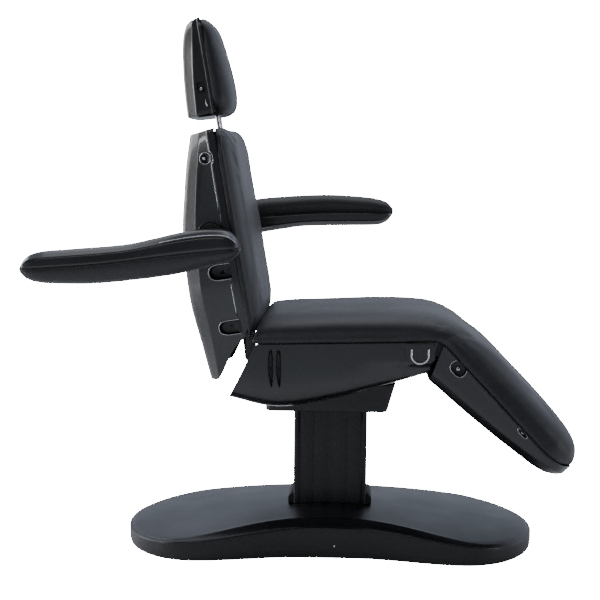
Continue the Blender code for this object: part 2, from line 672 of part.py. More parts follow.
def make_backrest(mats, back):
    rows = [back_shell_row(s) for s in spread(0, 1, 17)]
    lid = [(-0.008 + (x + 0.008) * 0.25, y * 0.94, z + 0.002) for x, y, z in rows[-1]]
    shell = solidify(piece("back_shell", sheet(rows + [lid]), mats["gloss"], back), 0.0025)
    pivot = back_local(ARM_PIVOT)
    for y0, y1 in ((0.20, 0.32), (-0.32, -0.20)):
        cut(shell, along_y(pivot, y0, y1, HUB_R + 0.0015))
    for sign in (1, -1):
        y0, y1 = sorted((sign * ROD_Y - 0.009, sign * ROD_Y + 0.009))
        cut(shell, box((ROD_X - 0.010, y0, BACK_TOP - 0.02), (ROD_X + 0.010, y1, BACK_TOP + 0.02)))

    board = piece("back_board", box((BACK_SEAM - 0.010, -0.256, 0.060), (BACK_SEAM - GAP, 0.256, BACK_TOP - 0.006)),
                  mats["wood"], back)
    for sign in (1, -1):
        cut(board, box((BACK_SEAM - 0.02, sign * ROD_Y - 0.0078, 0.225), (BACK_SEAM + 0.01, sign * ROD_Y + 0.0078, 0.6)))

    outline = [(BACK_SEAM, 0.030), (0.010, 0.026), (0.026, 0.034), (0.041, 0.060), (0.051, 0.100), (0.055, 0.15),
               (0.055, 0.36), (0.053, 0.455), (0.046, 0.482), (0.032, 0.497), (0.012, 0.500), (BACK_SEAM, 0.498)]
    piece("back_cushion", pillow(outline, (BACK_SEAM, 0.26), BACK_HALF), mats["vinyl"], back)

    bar_x = (-0.045, BACK_SEAM - 0.0105)
    arm = lug((0, 0), (-0.026, 0.030), 0.012, 0.012)[:-2]
    arm = arm + [(bar_x[1], 0.043), (bar_x[1], 0.400), (bar_x[0] + 0.004, 0.400), (bar_x[0] + 0.004, 0.030)]
    frame = piece("back_frame", prism(arm, HINGE_ARM_Y, HINGE_ARM_Y + HINGE_ARM_THICKNESS), mats["frame"], back)
    weld(frame, prism(arm, -HINGE_ARM_Y - HINGE_ARM_THICKNESS, -HINGE_ARM_Y))
    for z in (0.055, 0.300):
        weld(frame, box((bar_x[0] + 0.005, -HINGE_ARM_Y - 0.002, z), (-0.0200, HINGE_ARM_Y + 0.002, z + 0.022)))
    eye = back_local(BACK_DRIVE_EYE)
    for offset in (0.0115, -0.0165):
        flank = lug(eye, (-0.031, 0.064), 0.014, 0.0105)
        weld(frame, prism(flank, DRIVE_Y + offset, DRIVE_Y + offset + 0.005))
    cut(frame, along_y((0, 0), -0.30, 0.30, 0.0064))

    for side, sign in (("left", 1), ("right", -1)):
        y0, y1 = sorted((sign * (HINGE_ARM_Y + HINGE_ARM_THICKNESS + GAP), sign * (ARM_INNER - RUNNING)))
        hub = piece(f"arm_hub_{side}", along_y(pivot, y0, y1, HUB_R), mats["satin"], back)
        y0, y1 = sorted((sign * (ARM_INNER - 0.004), sign * (ARM_INNER + 0.050)))
        weld(hub, along_y(pivot, y0, y1, 0.008))
        guide = piece(f"head_rod_guide_{side}", rod((ROD_X, sign * ROD_Y, 0.330), (ROD_X, sign * ROD_Y, 0.470), 0.0065),
                      mats["matte"], back)
        cut(guide, rod((ROD_X, sign * ROD_Y, 0.30), (ROD_X, sign * ROD_Y, 0.50), ROD_R + 0.0004))


def back_local(point):
    """(x, z) of a world point in the backrest's frame."""
    offset = Matrix.Rotation(LEAN, 4, "Y") @ (point - HIP)
    return offset.x, offset.z


# ---------------------------------------------------------------- headrest

def make_headrest(mats, head):
    """Built in the backrest's frame; its empty sits on the rods' mid line."""
    shift = Vector((ROD_X, 0, BACK_TOP))

    def moved(bm):
        bmesh.ops.translate(bm, verts=bm.verts, vec=-shift)
        return bm

    for side, sign in (("left", 1), ("right", -1)):
        piece(f"head_rod_{side}", moved(rod((ROD_X, sign * ROD_Y, 0.300), (ROD_X, sign * ROD_Y, 0.620), ROD_R)),
              mats["chrome"], head)
    plate_x = ROD_X - ROD_R - GAP
    piece("head_bracket", moved(box((plate_x - 0.003, -0.060, 0.560), (plate_x, 0.060, 0.660))), mats["steel"], head)
    board = piece("head_board", moved(box((-0.0160, -0.125, 0.550), (BACK_SEAM - GAP, 0.125, 0.765))), mats["wood"], head)
    notch = box((-0.020, -0.064, 0.540), (0.0, 0.064, 0.664))
    cut(board, moved(notch))

    outline = [(BACK_SEAM, 0.548), (0.0, 0.541), (0.020, 0.539), (0.036, 0.545), (0.046, 0.560), (0.049, 0.590),
               (0.048, 0.63), (0.044, 0.675), (0.038, 0.72), (0.024, 0.762), (0.010, 0.775), (BACK_SEAM, 0.777)]
    piece("head_cushion", moved(pillow(outline, (BACK_SEAM, 0.66), 0.145)), mats["vinyl"], head)

    rear = ((0.54, 0.078), (0.61, 0.074), (0.68, 0.066), (0.73, 0.056), (0.765, 0.042), (0.785, 0.026))
    flank = ((0.54, 0.054), (0.63, 0.046), (0.70, 0.036), (0.77, 0.026))

    def row(s, grow=1.0, sink=1.0):
        side = ((0.140, 0.0055), (0.140, 0.5 * smooth(flank, s) + 0.005), (0.134, smooth(flank, s)),
                (0.116, smooth(rear, s) * 0.97), (0.060, smooth(rear, s)))
        full = [(y, d) for y, d in side] + [(0.0, smooth(rear, s) + 0.001)] + [(-y, d) for y, d in reversed(side)]
        return [(-0.0055 - (d - 0.0055) * sink, y * grow, s) for y, d in full]

    rows = [row(0.5405, 0.96, 0.10), row(0.542, 0.98, 0.90)] + [row(s) for s in (0.55, 0.60, 0.65, 0.70, 0.745, 0.77)]
    rows += [row(0.779, 0.97, 0.75), row(0.7805, 0.95, 0.12)]
    shell = solidify(piece("head_shell", moved(sheet(rows)), mats["gloss"], head), 0.0025)
    for sign in (1, -1):
        y = sign * ROD_Y
        cut(shell, moved(rod((ROD_X, y, 0.52), (ROD_X, y, 0.56), ROD_R + 0.001)))


# ---------------------------------------------------------------- arms

ARM_UNDER = ((-0.072, 0.024), (-0.062, 0.000), (-0.042, -0.018), (0.0, -0.0235), (0.065, -0.021), (0.126, -0.009),
             (0.20, 0.003), (0.33, 0.008), (0.405, 0.013), (0.430, 0.026), (0.4445, 0.044))
ARM_SEAM = ((-0.072, 0.0245), (0.067, 0.030), (0.257, 0.043), (0.4445, 0.0455))
ARM_TOP = ((-0.072, 0.058), (-0.058, 0.079), (-0.02, 0.081), (0.075, 0.077), (0.188, 0.084), (0.264, 0.087),
           (0.376, 0.081), (0.414, 0.074), (0.433, 0.065), (0.4445, 0.052))
ARM_STATIONS = (-0.0715, -0.066, -0.055, -0.035, 0.0, 0.05, 0.10, 0.16, 0.22, 0.29, 0.36, 0.405, 0.428, 0.440, 0.4443)


def arm_half_width(x):
    """Half width of the arm's plan, with round ends."""
    half = ARM_WIDTH / 2
    for near, reach in ((x + 0.072, 0.035), (0.4445 - x, 0.055)):
        if near < reach:
            share = 1 - max(0.0, near) / reach
            return half * (0.55 + 0.45 * math.sqrt(max(0.0, 1 - share**2)))
    return half


def make_arm(mats, side, sign, arm):
    middle = sign * (ARM_INNER + ARM_WIDTH / 2)
    rows = []
    for x in ARM_STATIONS:
        half = arm_half_width(x)
        top = smooth(ARM_SEAM, x) - GAP
        low = smooth(ARM_UNDER, x)
        across = ((1.0, 0.0), (0.985, 0.35), (0.93, 0.72), (0.78, 0.94), (0.40, 1.0))
        line = [(half * a, top + (low - top) * d) for a, d in across]
        line = line + [(0.0, low)] + [(-y, z) for y, z in reversed(line)]
        rows.append([(x, middle + y, z) for y, z in line])
    shell = solidify(piece(f"arm_shell_{side}", sheet(rows), mats["gloss"], arm), 0.0025)
    y0, y1 = sorted((sign * (ARM_INNER - 0.01), sign * (ARM_INNER + 0.052)))
    cut(shell, along_y((0, 0), y0, y1, 0.0095))

    rings = []
    for x in ARM_STATIONS:
        half = arm_half_width(x)
        low = smooth(ARM_SEAM, x) + GAP
        high = max(low + 0.004, smooth(ARM_TOP, x))
        deep = high - low
        line = [(-half, low), (-half, low + 0.55 * deep), (-half * 0.86, low + 0.88 * deep), (-half * 0.5, high),
                (half * 0.5, high), (half * 0.86, low + 0.88 * deep), (half, low + 0.55 * deep), (half, low)]
        rings.append([(x, middle + y, z) for y, z in line])
    piece(f"arm_pad_{side}", loft(rings), mats["vinyl"], arm)

    outline = lug((0, 0), (0.030, 0.006), 0.0165, 0.0120)[:-2]
    outline = outline + [(0.020, -0.0145), (0.115, 0.001), (0.390, 0.022), (0.390, 0.034), (0.115, 0.018)]
    bar_y = sorted((sign * (ARM_INNER + 0.020), sign * (ARM_INNER + 0.032)))
    bar = piece(f"arm_bar_{side}", prism(outline, *bar_y), mats["frame"], arm)
    cut(bar, along_y((0, 0), bar_y[0] - 0.01, bar_y[1] + 0.01, 0.0084))


# ---------------------------------------------------------------- assembly

def main():
    for obj in list(bpy.data.objects):
        bpy.data.objects.remove(obj)
    mats = {
        "vinyl": material("vinyl", (0.018, 0.018, 0.020), 0.42),
        "gloss": material("gloss_plastic", (0.012, 0.012, 0.013), 0.22),
        "satin": material("satin_plastic", (0.016, 0.016, 0.018), 0.35),
        "matte": material("matte_plastic", (0.03, 0.03, 0.03), 0.6),
        "frame": material("painted_steel", (0.05, 0.05, 0.055), 0.45, 0.3),
        "steel": material("steel", (0.45, 0.45, 0.46), 0.4, 1.0),
        "chrome": material("chrome", (0.8, 0.8, 0.82), 0.1, 1.0),
        "brass": material("brass", (0.65, 0.48, 0.2), 0.35, 1.0),
        "wood": material("plywood", (0.42, 0.30, 0.18), 0.7),
    }
    root = empty("base_body")
    middle = empty("column_middle_body", parent=root)
    seat = empty("seat_body", parent=middle)
    back = empty("back_body", HIP, -LEAN, seat)
    head_at = HIP + Matrix.Rotation(-LEAN, 3, "Y") @ Vector((ROD_X, 0, BACK_TOP))
    head = empty("headrest_body", head_at, -LEAN, back)
    leg = empty("leg_body", KNEE, LEG_DROP, seat)
    arms = {"left": empty("arm_left_body", ARM_PIVOT, 0.0, back),
            "right": empty("arm_right_body", ARM_PIVOT, -ARM_SWUNG, back)}
    ring = empty("hook_ring_body", (0.2135, -0.3070, 0.5240), 0.0, seat)
    back_drive = empty("back_drive_body_pivot", BACK_DRIVE_FOOT, 0.0, seat)
    back_rod = empty("back_drive_rod_slide", BACK_DRIVE_FOOT, 0.0, back_drive)
    leg_drive = empty("leg_drive_body_pivot", LEG_DRIVE_FOOT, 0.0, seat)
    leg_rod = empty("leg_drive_rod_slide", LEG_DRIVE_FOOT, 0.0, leg_drive)

    make_base(mats, root)
    make_column(mats, root, middle, seat)
    make_seat(mats, seat)
    make_hook_ring(mats, ring)
    make_drive("back_drive", BACK_DRIVE_FOOT, BACK_DRIVE_EYE, DRIVE_Y, 0.215, 0.080, 0.183, mats, back_drive, back_rod)
    make_drive("leg_drive", LEG_DRIVE_FOOT, LEG_DRIVE_EYE, -DRIVE_Y, 0.175, 0.098, 0.114, mats, leg_drive, leg_rod)
    make_leg(mats, leg)
    make_backrest(mats, back)
    make_headrest(mats, head)
    for side, sign in (("left", 1), ("right", -1)):
        make_arm(mats, side, sign, arms[side])


main()
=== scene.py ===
"""The looks of the facial treatment bed: upholstery, moulded shells, base, column and fittings.

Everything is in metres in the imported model's frame: +X to the feet, +Z up, the floor at z = 0.
"""

import json
import math

import bmesh
import bpy
import numpy as np
from mathutils import Matrix, Vector, noise

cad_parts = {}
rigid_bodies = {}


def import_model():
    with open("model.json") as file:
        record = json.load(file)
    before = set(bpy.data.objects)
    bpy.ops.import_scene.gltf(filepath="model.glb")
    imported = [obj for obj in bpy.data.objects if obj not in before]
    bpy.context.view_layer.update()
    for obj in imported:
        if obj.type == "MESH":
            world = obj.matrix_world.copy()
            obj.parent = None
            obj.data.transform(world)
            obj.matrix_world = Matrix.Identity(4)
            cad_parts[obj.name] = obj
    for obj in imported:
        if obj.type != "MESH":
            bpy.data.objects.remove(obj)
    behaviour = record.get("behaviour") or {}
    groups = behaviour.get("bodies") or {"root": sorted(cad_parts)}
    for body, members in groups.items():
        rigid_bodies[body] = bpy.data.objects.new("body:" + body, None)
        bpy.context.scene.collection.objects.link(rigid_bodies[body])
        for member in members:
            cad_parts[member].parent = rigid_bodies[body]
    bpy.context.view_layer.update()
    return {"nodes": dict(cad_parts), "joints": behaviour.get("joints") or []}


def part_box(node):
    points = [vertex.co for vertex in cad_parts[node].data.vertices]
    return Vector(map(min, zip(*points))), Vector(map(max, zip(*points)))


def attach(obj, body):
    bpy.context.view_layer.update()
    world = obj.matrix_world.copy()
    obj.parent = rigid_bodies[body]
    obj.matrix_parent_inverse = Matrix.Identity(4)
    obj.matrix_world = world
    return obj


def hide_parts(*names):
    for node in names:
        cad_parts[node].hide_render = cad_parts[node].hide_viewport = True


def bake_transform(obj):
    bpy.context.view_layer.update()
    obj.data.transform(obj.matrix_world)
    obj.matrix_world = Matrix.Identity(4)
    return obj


for old in list(bpy.data.objects):
    bpy.data.objects.remove(old)
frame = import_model()
joints = {joint["name"]: joint for joint in frame["joints"]}

# Places and turns of the moving bodies at rest
HIP = Vector(joints["back_recline"]["pos_m"])
KNEE = Vector(joints["leg_lift"]["pos_m"])
ARM_PIVOT = Vector((joints["arm_left_swing"]["pos_m"][0], 0.0, joints["arm_left_swing"]["pos_m"][2]))
HEAD_AXIS = Vector(joints["headrest_slide"]["axis"])
LEAN = math.atan2(-HEAD_AXIS.x, HEAD_AXIS.z)
SEAT_RISE = math.radians(1.5)
LEG_DROP = math.radians(46.5)
ARM_SWUNG = math.radians(183.7)


def turned(origin, angle):
    return Matrix.Translation(origin) @ Matrix.Rotation(angle, 4, "Y")


WORLD = Matrix.Identity(4)
BACK = turned(HIP, -LEAN)
LEG = turned(KNEE, LEG_DROP)
ARMS = {"left": (turned(ARM_PIVOT, 0.0), 1), "right": (turned(ARM_PIVOT, -ARM_SWUNG), -1)}

# Sizes shared with the solids
SEAM_ABOVE_KNEE = 0.0085
SEAT_HALF = 0.298
BACK_HALF = 0.286
BACK_SEAM = 0.0045            # the cushion's rear plane, behind the hip axis
LEG_LENGTH = 0.447
LEG_HALF, LEG_HALF_TIP = 0.290, 0.272
ARM_INNER, ARM_WIDTH = 0.306, 0.096
ARM_BACK, ARM_FRONT = -0.0718, 0.4443
WALL = 0.0025                 # wall of a moulded shell
SIDES = (("left", 1), ("right", -1))


# ---------------------------------------------------------------- materials

def add(tree, kind, inputs, **settings):
    """A shader node; each of its inputs takes a value or another node's output."""
    node = tree.nodes.new("ShaderNode" + kind)
    for name, value in settings.items():
        setattr(node, name, value)
    for name, value in inputs.items():
        if isinstance(value, bpy.types.NodeSocket):
            tree.links.new(value, node.inputs[name])
        else:
            node.inputs[name].default_value = value
    return node


def surface(name, colour, rough, spread, grain, depth, metallic=0.0, cells=False, broad=9.0, **fixed):
    """A finish with broad variation of colour and roughness, and a fine bump of the given grain."""
    mat = bpy.data.materials.new(name)
    mat.use_nodes = True
    tree = mat.node_tree
    shader = tree.nodes["Principled BSDF"]
    shader.inputs["Metallic"].default_value = metallic
    for socket, value in fixed.items():
        shader.inputs[socket.replace("_", " ")].default_value = value
    coords = add(tree, "TexCoord", {}).outputs["Object"]
    cloud = add(tree, "TexNoise", {"Scale": broad, "Detail": 4.0, "Vector": coords}).outputs["Fac"]
    tint = add(tree, "ValToRGB", {"Fac": cloud})
    for stop, position, factor in zip(tint.color_ramp.elements, (0.3, 0.7), (0.82, 1.22)):
        stop.position = position
        stop.color = (*[c * factor for c in colour], 1.0)

    scale = {"Scale": 1.0 / grain, "Vector": coords}
    if cells:
        fine = add(tree, "TexVoronoi", {"Randomness": 0.9, **scale}, feature="DISTANCE_TO_EDGE").outputs["Distance"]
    else:
        fine = add(tree, "TexNoise", {"Detail": 3.0, **scale}).outputs["Fac"]
    level = add(tree, "MapRange", {"From Max": 0.35 if cells else 1.0, "Value": fine}).outputs["Result"]
    mixed = add(tree, "Math", {0: level, 1: -0.35, 2: cloud}, operation="MULTIPLY_ADD").outputs["Value"]
    shine = add(tree, "MapRange", {"From Min": 0.1, "From Max": 0.7, "To Min": rough - spread,
                                   "To Max": rough + spread, "Value": mixed})
    bump = add(tree, "Bump", {"Strength": 0.5, "Distance": depth, "Height": level})
    tree.links.new(tint.outputs["Color"], shader.inputs["Base Color"])
    tree.links.new(shine.outputs["Result"], shader.inputs["Roughness"])
    tree.links.new(bump.outputs["Normal"], shader.inputs["Normal"])
    return mat


MATERIALS = {
    "vinyl": surface("vinyl", (0.0175, 0.0184, 0.0222), 0.46, 0.06, 0.0013, 0.00010, cells=True,
                     Sheen_Weight=0.12, Sheen_Roughness=0.45),
    "thread": surface("thread", (0.020, 0.020, 0.022), 0.75, 0.05, 0.0004, 0.0001),
    "gloss": surface("gloss", (0.0080, 0.0087, 0.0108), 0.34, 0.05, 0.0011, 0.00002, Coat_Weight=0.6,
                     Coat_Roughness=0.07),
    # edge: a bright metal colour for the beads on the black shells' rims and recess lips, a painted highlight for the
    # light their glossy edges catch
    "edge": surface("edge", (0.60, 0.62, 0.66), 0.24, 0.04, 0.0030, 0.00001, metallic=1.0),
    # hollow: the shells' black plastic painted darker for the insides of recesses, as painted shade
    "hollow": surface("hollow", (0.0034, 0.0037, 0.0046), 0.42, 0.05, 0.0011, 0.00002),
    "moulded": surface("moulded", (0.0070, 0.0077, 0.0098), 0.40, 0.05, 0.0011, 0.00002, Coat_Weight=0.05,
                       Coat_Roughness=0.15),
    "satin": surface("satin", (0.0090, 0.0093, 0.0112), 0.42, 0.05, 0.0009, 0.00004),
    "matte": surface("matte", (0.0130, 0.0130, 0.0140), 0.62, 0.06, 0.0008, 0.00006),
    "frame": surface("frame", (0.030, 0.031, 0.034), 0.45, 0.07, 0.0015, 0.00005),
    "steel": surface("steel", (0.42, 0.42, 0.43), 0.38, 0.10, 0.0006, 0.00002, metallic=1.0),
    "chrome": surface("chrome", (0.78, 0.79, 0.81), 0.10, 0.05, 0.0030, 0.00001, metallic=1.0),
    "brass": surface("brass", (0.60, 0.43, 0.17), 0.34, 0.08, 0.0010, 0.00002, metallic=1.0),
    "wood": surface("wood", (0.34, 0.23, 0.13), 0.66, 0.10, 0.0040, 0.00010, broad=40.0),
}


# ---------------------------------------------------------------- curves and meshes

def smooth(points, x):
    """A curve through (x, value) points, read at x."""
    if x <= points[0][0]:
        return points[0][1]
    for i in range(len(points) - 1):
        (x0, v0), (x1, v1) = points[i], points[i + 1]
        if x <= x1:
            before = points[i - 1] if i else (2 * x0 - x1, 2 * v0 - v1)
            after = points[i + 2] if i + 2 < len(points) else (2 * x1 - x0, 2 * v1 - v0)
            t = (x - x0) / (x1 - x0)
            m0 = (v1 - before[1]) / (x1 - before[0]) * (x1 - x0)
            m1 = (after[1] - v0) / (after[0] - x0) * (x1 - x0)
            return ((2 * t**3 - 3 * t**2 + 1) * v0 + (t**3 - 2 * t**2 + t) * m0
                    + (3 * t**2 - 2 * t**3) * v1 + (t**3 - t**2) * m1)
    return points[-1][1]


def spread(low, high, count):
    return [low + (high - low) * i / (count - 1) for i in range(count)]


def ease(x):
    x = min(1.0, max(0.0, x))
    return x * x * (3 - 2 * x)


def bend(corners, turn_steps=5, run_steps=4):
    """A path through (a, b, radius) corners, each rounded, with the same number of points every time."""
    at = [np.array(corner[:2], float) for corner in corners]
    path = [at[0]]
    last = at[0]
    for i in range(1, len(corners)):
        if i == len(corners) - 1:
            into, points = at[i], []
        else:
            back, ahead = at[i - 1] - at[i], at[i + 1] - at[i]
            reach = min(corners[i][2], 0.45 * np.linalg.norm(back), 0.45 * np.linalg.norm(ahead))
            into = at[i] + back / max(1e-9, np.linalg.norm(back)) * reach
            out = at[i] + ahead / max(1e-9, np.linalg.norm(ahead)) * reach
            points = [into * (1 - t)**2 + at[i] * 2 * t * (1 - t) + out * t**2
                      for t in spread(0.0, 1.0, turn_steps)[1:]]
        path += [last + (into - last) * (k / run_steps) for k in range(1, run_steps + 1)]
        path += points
        last = path[-1]
    return np.array(path)


def mirrored(half):
    """Both sides of a half section whose last point lies on the middle plane, which is y = 0."""
    other = half[:-1][::-1].copy()
    other[:, 0] *= -1
    return np.concatenate([half, other])


def new_object(name, verts, faces, mat, matrix=WORLD):
    mesh = bpy.data.meshes.new(name)
    mesh.from_pydata([tuple(matrix @ Vector(v)) for v in verts], [], faces)
    bm = bmesh.new()
    bm.from_mesh(mesh)
    bmesh.ops.remove_doubles(bm, verts=bm.verts, dist=1e-6)
    bmesh.ops.recalc_face_normals(bm, faces=bm.faces)
    bm.to_mesh(mesh)
    bm.free()
    mesh.shade_smooth()
    mesh.materials.append(MATERIALS[mat])
    obj = bpy.data.objects.new(name, mesh)
    bpy.context.scene.collection.objects.link(obj)
    return obj


def grid(rows, closed=False, ends=False):
    """Vertices and quads of a surface over rows of equal length; `ends` closes the first and last ring."""
    count = len(rows[0])
    verts = [tuple(point) for row in rows for point in row]
    faces = []
    for r in range(len(rows) - 1):
        for i in range(count if closed else count - 1):
            j = (i + 1) % count
            faces.append((r * count + i, r * count + j, (r + 1) * count + j, (r + 1) * count + i))
    if ends:
        for start in (0, (len(rows) - 1) * count):
            for i in range(count // 2 - 1):
                faces.append((start + i, start + i + 1, start + count - 2 - i, start + count - 1 - i))
    return verts, faces


def settle(obj, sharp=32.0):
    """Fixes the modifiers' result as the piece's own mesh and marks its crisp edges."""
    depsgraph = bpy.context.evaluated_depsgraph_get()
    depsgraph.update()
    mesh = bpy.data.meshes.new_from_object(obj.evaluated_get(depsgraph))
    obj.modifiers.clear()
    obj.data = mesh
    mesh.shade_smooth()
    mesh.set_sharp_from_angle(angle=math.radians(sharp))
    return obj


def solidify(obj, thickness=WALL):
    mod = obj.modifiers.new("wall", "SOLIDIFY")
    mod.thickness = thickness
    mod.offset = -1.0
    return obj


def subdivide(obj, levels=1):
    mod = obj.modifiers.new("finer", "SUBSURF")
    mod.levels = levels
    mod.render_levels = levels
    return obj


def moulding(name, rows, matrix=WORLD, sharp=34, wall=WALL):
    """A glossy shell over rows of points, thickened inwards."""
    verts, faces = grid(rows)
    return settle(solidify(new_object(name, verts, faces, "gloss", matrix), wall), sharp)


def prism(name, outline, heights, matrix=WORLD):
    """A straight block over an outline, between two heights."""
    count = len(outline)
    verts, faces = grid([[(*point, z) for point in outline] for z in heights], closed=True)
    return new_object(name, verts, faces + [tuple(range(count)), tuple(range(count, 2 * count))], "matte", matrix)


def cut_away(obj, tool, own_overlaps=False):
    mod = obj.modifiers.new("cut", "BOOLEAN")
    mod.object, mod.operation, mod.solver = tool, "DIFFERENCE", "EXACT"
    mod.use_self = own_overlaps


def ready(obj, body, slot, *nodes):
    """Gives a piece its body and hides the solids it stands for; `slot` is not used."""
    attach(obj, body)
    if nodes:
        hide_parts(*nodes)
    return obj


def tube(name, path, radius, mat, body, slot, sides=16, closed=False):
    """Round wire along world points."""
    path = [Vector(point) for point in path]
    count = len(path)
    rings = []
    side = None
    for i, point in enumerate(path):
        ahead = path[(i + 1) % count] if closed or i + 1 < count else point
        behind = path[i - 1] if closed or i else point
        along = (ahead - behind).normalized()
        if side is None:
            side = along.orthogonal()
        side = (side - along * side.dot(along)).normalized()
        other = along.cross(side)
        angles = [math.tau * k / sides for k in range(sides)]
        rings.append([point + (side * math.cos(a) + other * math.sin(a)) * radius for a in angles])
    if closed:
        rings.append(rings[0])
    verts, faces = grid(rings, closed=True)
    if not closed:
        faces.append(tuple(range(sides)))
        faces.append(tuple(range(len(verts) - sides, len(verts))))
    return ready(new_object(name, verts, faces, mat), body, slot)


def turned_piece(name, profile, centre, axis, mat, body, slot, sides=40):
    """A turned piece: (radius, height along axis) points about an axis through centre."""
    turn = Vector(axis).to_track_quat("Z", "Y").to_matrix().to_4x4()
    rows = [[(r * math.cos(math.tau * k / sides), r * math.sin(math.tau * k / sides), h) for k in range(sides)]
            for r, h in profile]
    verts, faces = grid(rows, closed=True)
    obj = new_object(name, verts, faces, mat, Matrix.Translation(centre) @ turn)
    obj.data.set_sharp_from_angle(angle=math.radians(40))
    return ready(obj, body, slot)


def screw(name, centre, axis, radius, body):
    """A pan-head screw with a cross recess."""
    rise = radius * 0.55
    profile = [(radius * 0.98, -rise), (radius, 0.0), (radius * 0.97, rise * 0.35), (radius * 0.82, rise * 0.8),
               (radius * 0.5, rise), (0.0005, rise * 1.05)]
    turned_piece(name, profile, centre, axis, "chrome", body, "chrome", 28)
    turn = Vector(axis).to_track_quat("Z", "Y").to_matrix().to_4x4()
    slot_long, slot_wide, top = radius * 0.62, radius * 0.11, rise * 1.15
    arms = []
    for k in range(4):
        a = math.radians(45) + math.pi / 2 * k
        along, across = Vector((math.cos(a), math.sin(a))), Vector((-math.sin(a), math.cos(a)))
        for point in (along * slot_long - across * slot_wide, along * slot_long + across * slot_wide):
            arms.append((point.x, point.y))
        arms.append(tuple((along + across) * slot_wide))
    cross = prism(name + "_recess", arms, (top - 0.0004, top), Matrix.Translation(centre) @ turn)
    ready(cross, body, "matte")


# ---------------------------------------------------------------- recesses in side walls

def oval(centre, half_a, half_b, power=2.0, count=40):
    """A closed outline about centre; a higher power makes it squarer."""
    outline = []
    for k in range(count):
        c, s = math.cos(math.tau * k / count), math.sin(math.tau * k / count)
        outline.append((centre[0] + half_a * math.copysign(abs(c)**(2 / power), c),
                        centre[1] + half_b * math.copysign(abs(s)**(2 / power), s)))
    return outline


def scaled(outline, factor, shift=(0.0, 0.0)):
    middle = np.mean(outline, axis=0)
    return [tuple(middle + (np.array(p) - middle) * factor + np.array(shift)) for p in outline]


def carve(obj, outlines, on_wall):
    """Cuts the outlines through both side walls; on_wall(point, outset, side) places a point."""
    verts, faces = [], []
    for outline in outlines:
        for side in (1, -1):
            start = len(verts)
            count = len(outline)
            for outset in (-0.020, 0.020):
                verts += [on_wall(point, outset, side) for point in outline]
            for i in range(count):
                j = (i + 1) % count
                faces.append((start + i, start + j, start + count + j, start + count + i))
            faces.append(tuple(range(start, start + count)))
            faces.append(tuple(range(start + count, start + 2 * count)))
    tool = new_object(obj.name + "_tool", verts, faces, "matte")
    cut_away(obj, tool, own_overlaps=True)
    settle(obj)
    bpy.data.objects.remove(tool)


def cup(name, outline, depth, on_wall, body, floor=0.90, shift=(0.0, 0.0)):
    """The moulded recess behind a cut: a rounded lip on the wall, then steep sides and a floor. It is drawn in the
    darker 'hollow' colour, painted shade for the inside of the recess.
    """
    steps = [(1.05, -0.0004, 0.0), (1.045, 0.0003, 0.0), (1.02, 0.0008, 0.0), (0.995, 0.0004, 0.0),
             (0.975, -0.0012, 0.05), (0.96, -depth * 0.55, 0.5), (0.94, -depth * 0.88, 0.9),
             (floor, -depth, 1.0), (floor * 0.5, -depth * 1.03, 1.0), (0.02, -depth * 1.03, 1.0)]
    for label, side in SIDES:
        rows = []
        for factor, outset, share in steps:
            moved = scaled(outline, factor, (shift[0] * share, shift[1] * share))
            rows.append([on_wall(point, outset, side) for point in moved])
        verts, faces = grid(rows, closed=True)
        # Painted shade: the recess gets the darker 'hollow' colour, though it is the shell's own plastic.
        ready(solidify(new_object(f"{name}_{label}", verts, faces, "hollow"), 0.0010), body, "gloss")


def lip(name, outline, radius, on_wall, side, body):
    """A bright metallic bead round a recess, a painted highlight standing for the light on the recess's glossy rim.
    """
    ring = [on_wall(point, 0.0006, side) for point in scaled(outline, 1.05)]
    tube(name, ring, radius, "edge", body, "chrome", 10, closed=True)


# ---------------------------------------------------------------- padding

def pad_rows(stations, across, square, crown, tuck=0.004):
    """Closed rings of a cushion: each station is (seam point, outward unit, depth, half width, middle y)."""
    rows = []
    for seam, out, depth, half, middle in stations:
        seam, out = np.array(seam, float), np.array(out, float)
        top = []
        for k in range(across):
            a = math.pi * k / (across - 1)
            c, s = math.cos(a), abs(math.sin(a))
            y = half * math.copysign(abs(c)**(2 / square), c)
            h = depth * s**(2 / crown)
            y -= math.copysign(tuck * 0.6 * math.exp(-(h / 0.006)**2), y)
            top.append(seam + out * h + np.array((0.0, middle + y, 0.0)))
        under = [seam - out * 0.0003 + np.array((0.0, (p[1] - middle) * 0.97 + middle, 0.0)) for p in top]
        rows.append(top + under[::-1])
    return rows


def undulate(obj, amount, size, seed):
    """Slow swells of the padding, along the surface's own normals."""
    mesh = obj.data
    mesh.update()
    for vert in mesh.vertices:
        value = noise.noise(Vector(vert.co) / size + Vector((seed, 0.37 * seed, 1.9 * seed)))
        vert.co = vert.co + vert.normal * (amount * value)
    mesh.update()


def puff(obj, held, cap):
    """Lets the cover swell up to `cap` as cloth; `held` says which points are sewn down."""
    rest = [vert.co.copy() for vert in obj.data.vertices]
    group = obj.vertex_groups.new(name="sewn")
    group.add([vert.index for vert in obj.data.vertices if held(vert.co)], 1.0, "REPLACE")
    mod = obj.modifiers.new("swell", "CLOTH")
    cloth = mod.settings
    cloth.quality = 6
    cloth.mass = 0.4
    cloth.tension_stiffness = cloth.compression_stiffness = 18.0
    cloth.shear_stiffness = 6.0
    cloth.bending_stiffness = 1.5
    cloth.use_pressure = True
    cloth.uniform_pressure_force = 3.0
    cloth.vertex_group_mass = "sewn"
    cloth.effector_weights.gravity = 0.0
    mod.collision_settings.use_collision = False
    scene = bpy.context.scene
    scene.frame_start, scene.frame_end = 1, 20
    for number in range(1, 21):
        scene.frame_set(number)
    evaluated = obj.evaluated_get(bpy.context.evaluated_depsgraph_get())
    after = [vert.co.copy() for vert in evaluated.data.vertices]
    obj.modifiers.remove(mod)
    obj.vertex_groups.remove(group)
    for vert, start, stop in zip(obj.data.vertices, rest, after):
        way = stop - start
        if way.length > cap:
            way *= cap / way.length
        vert.co = start + way
    scene.frame_set(1)


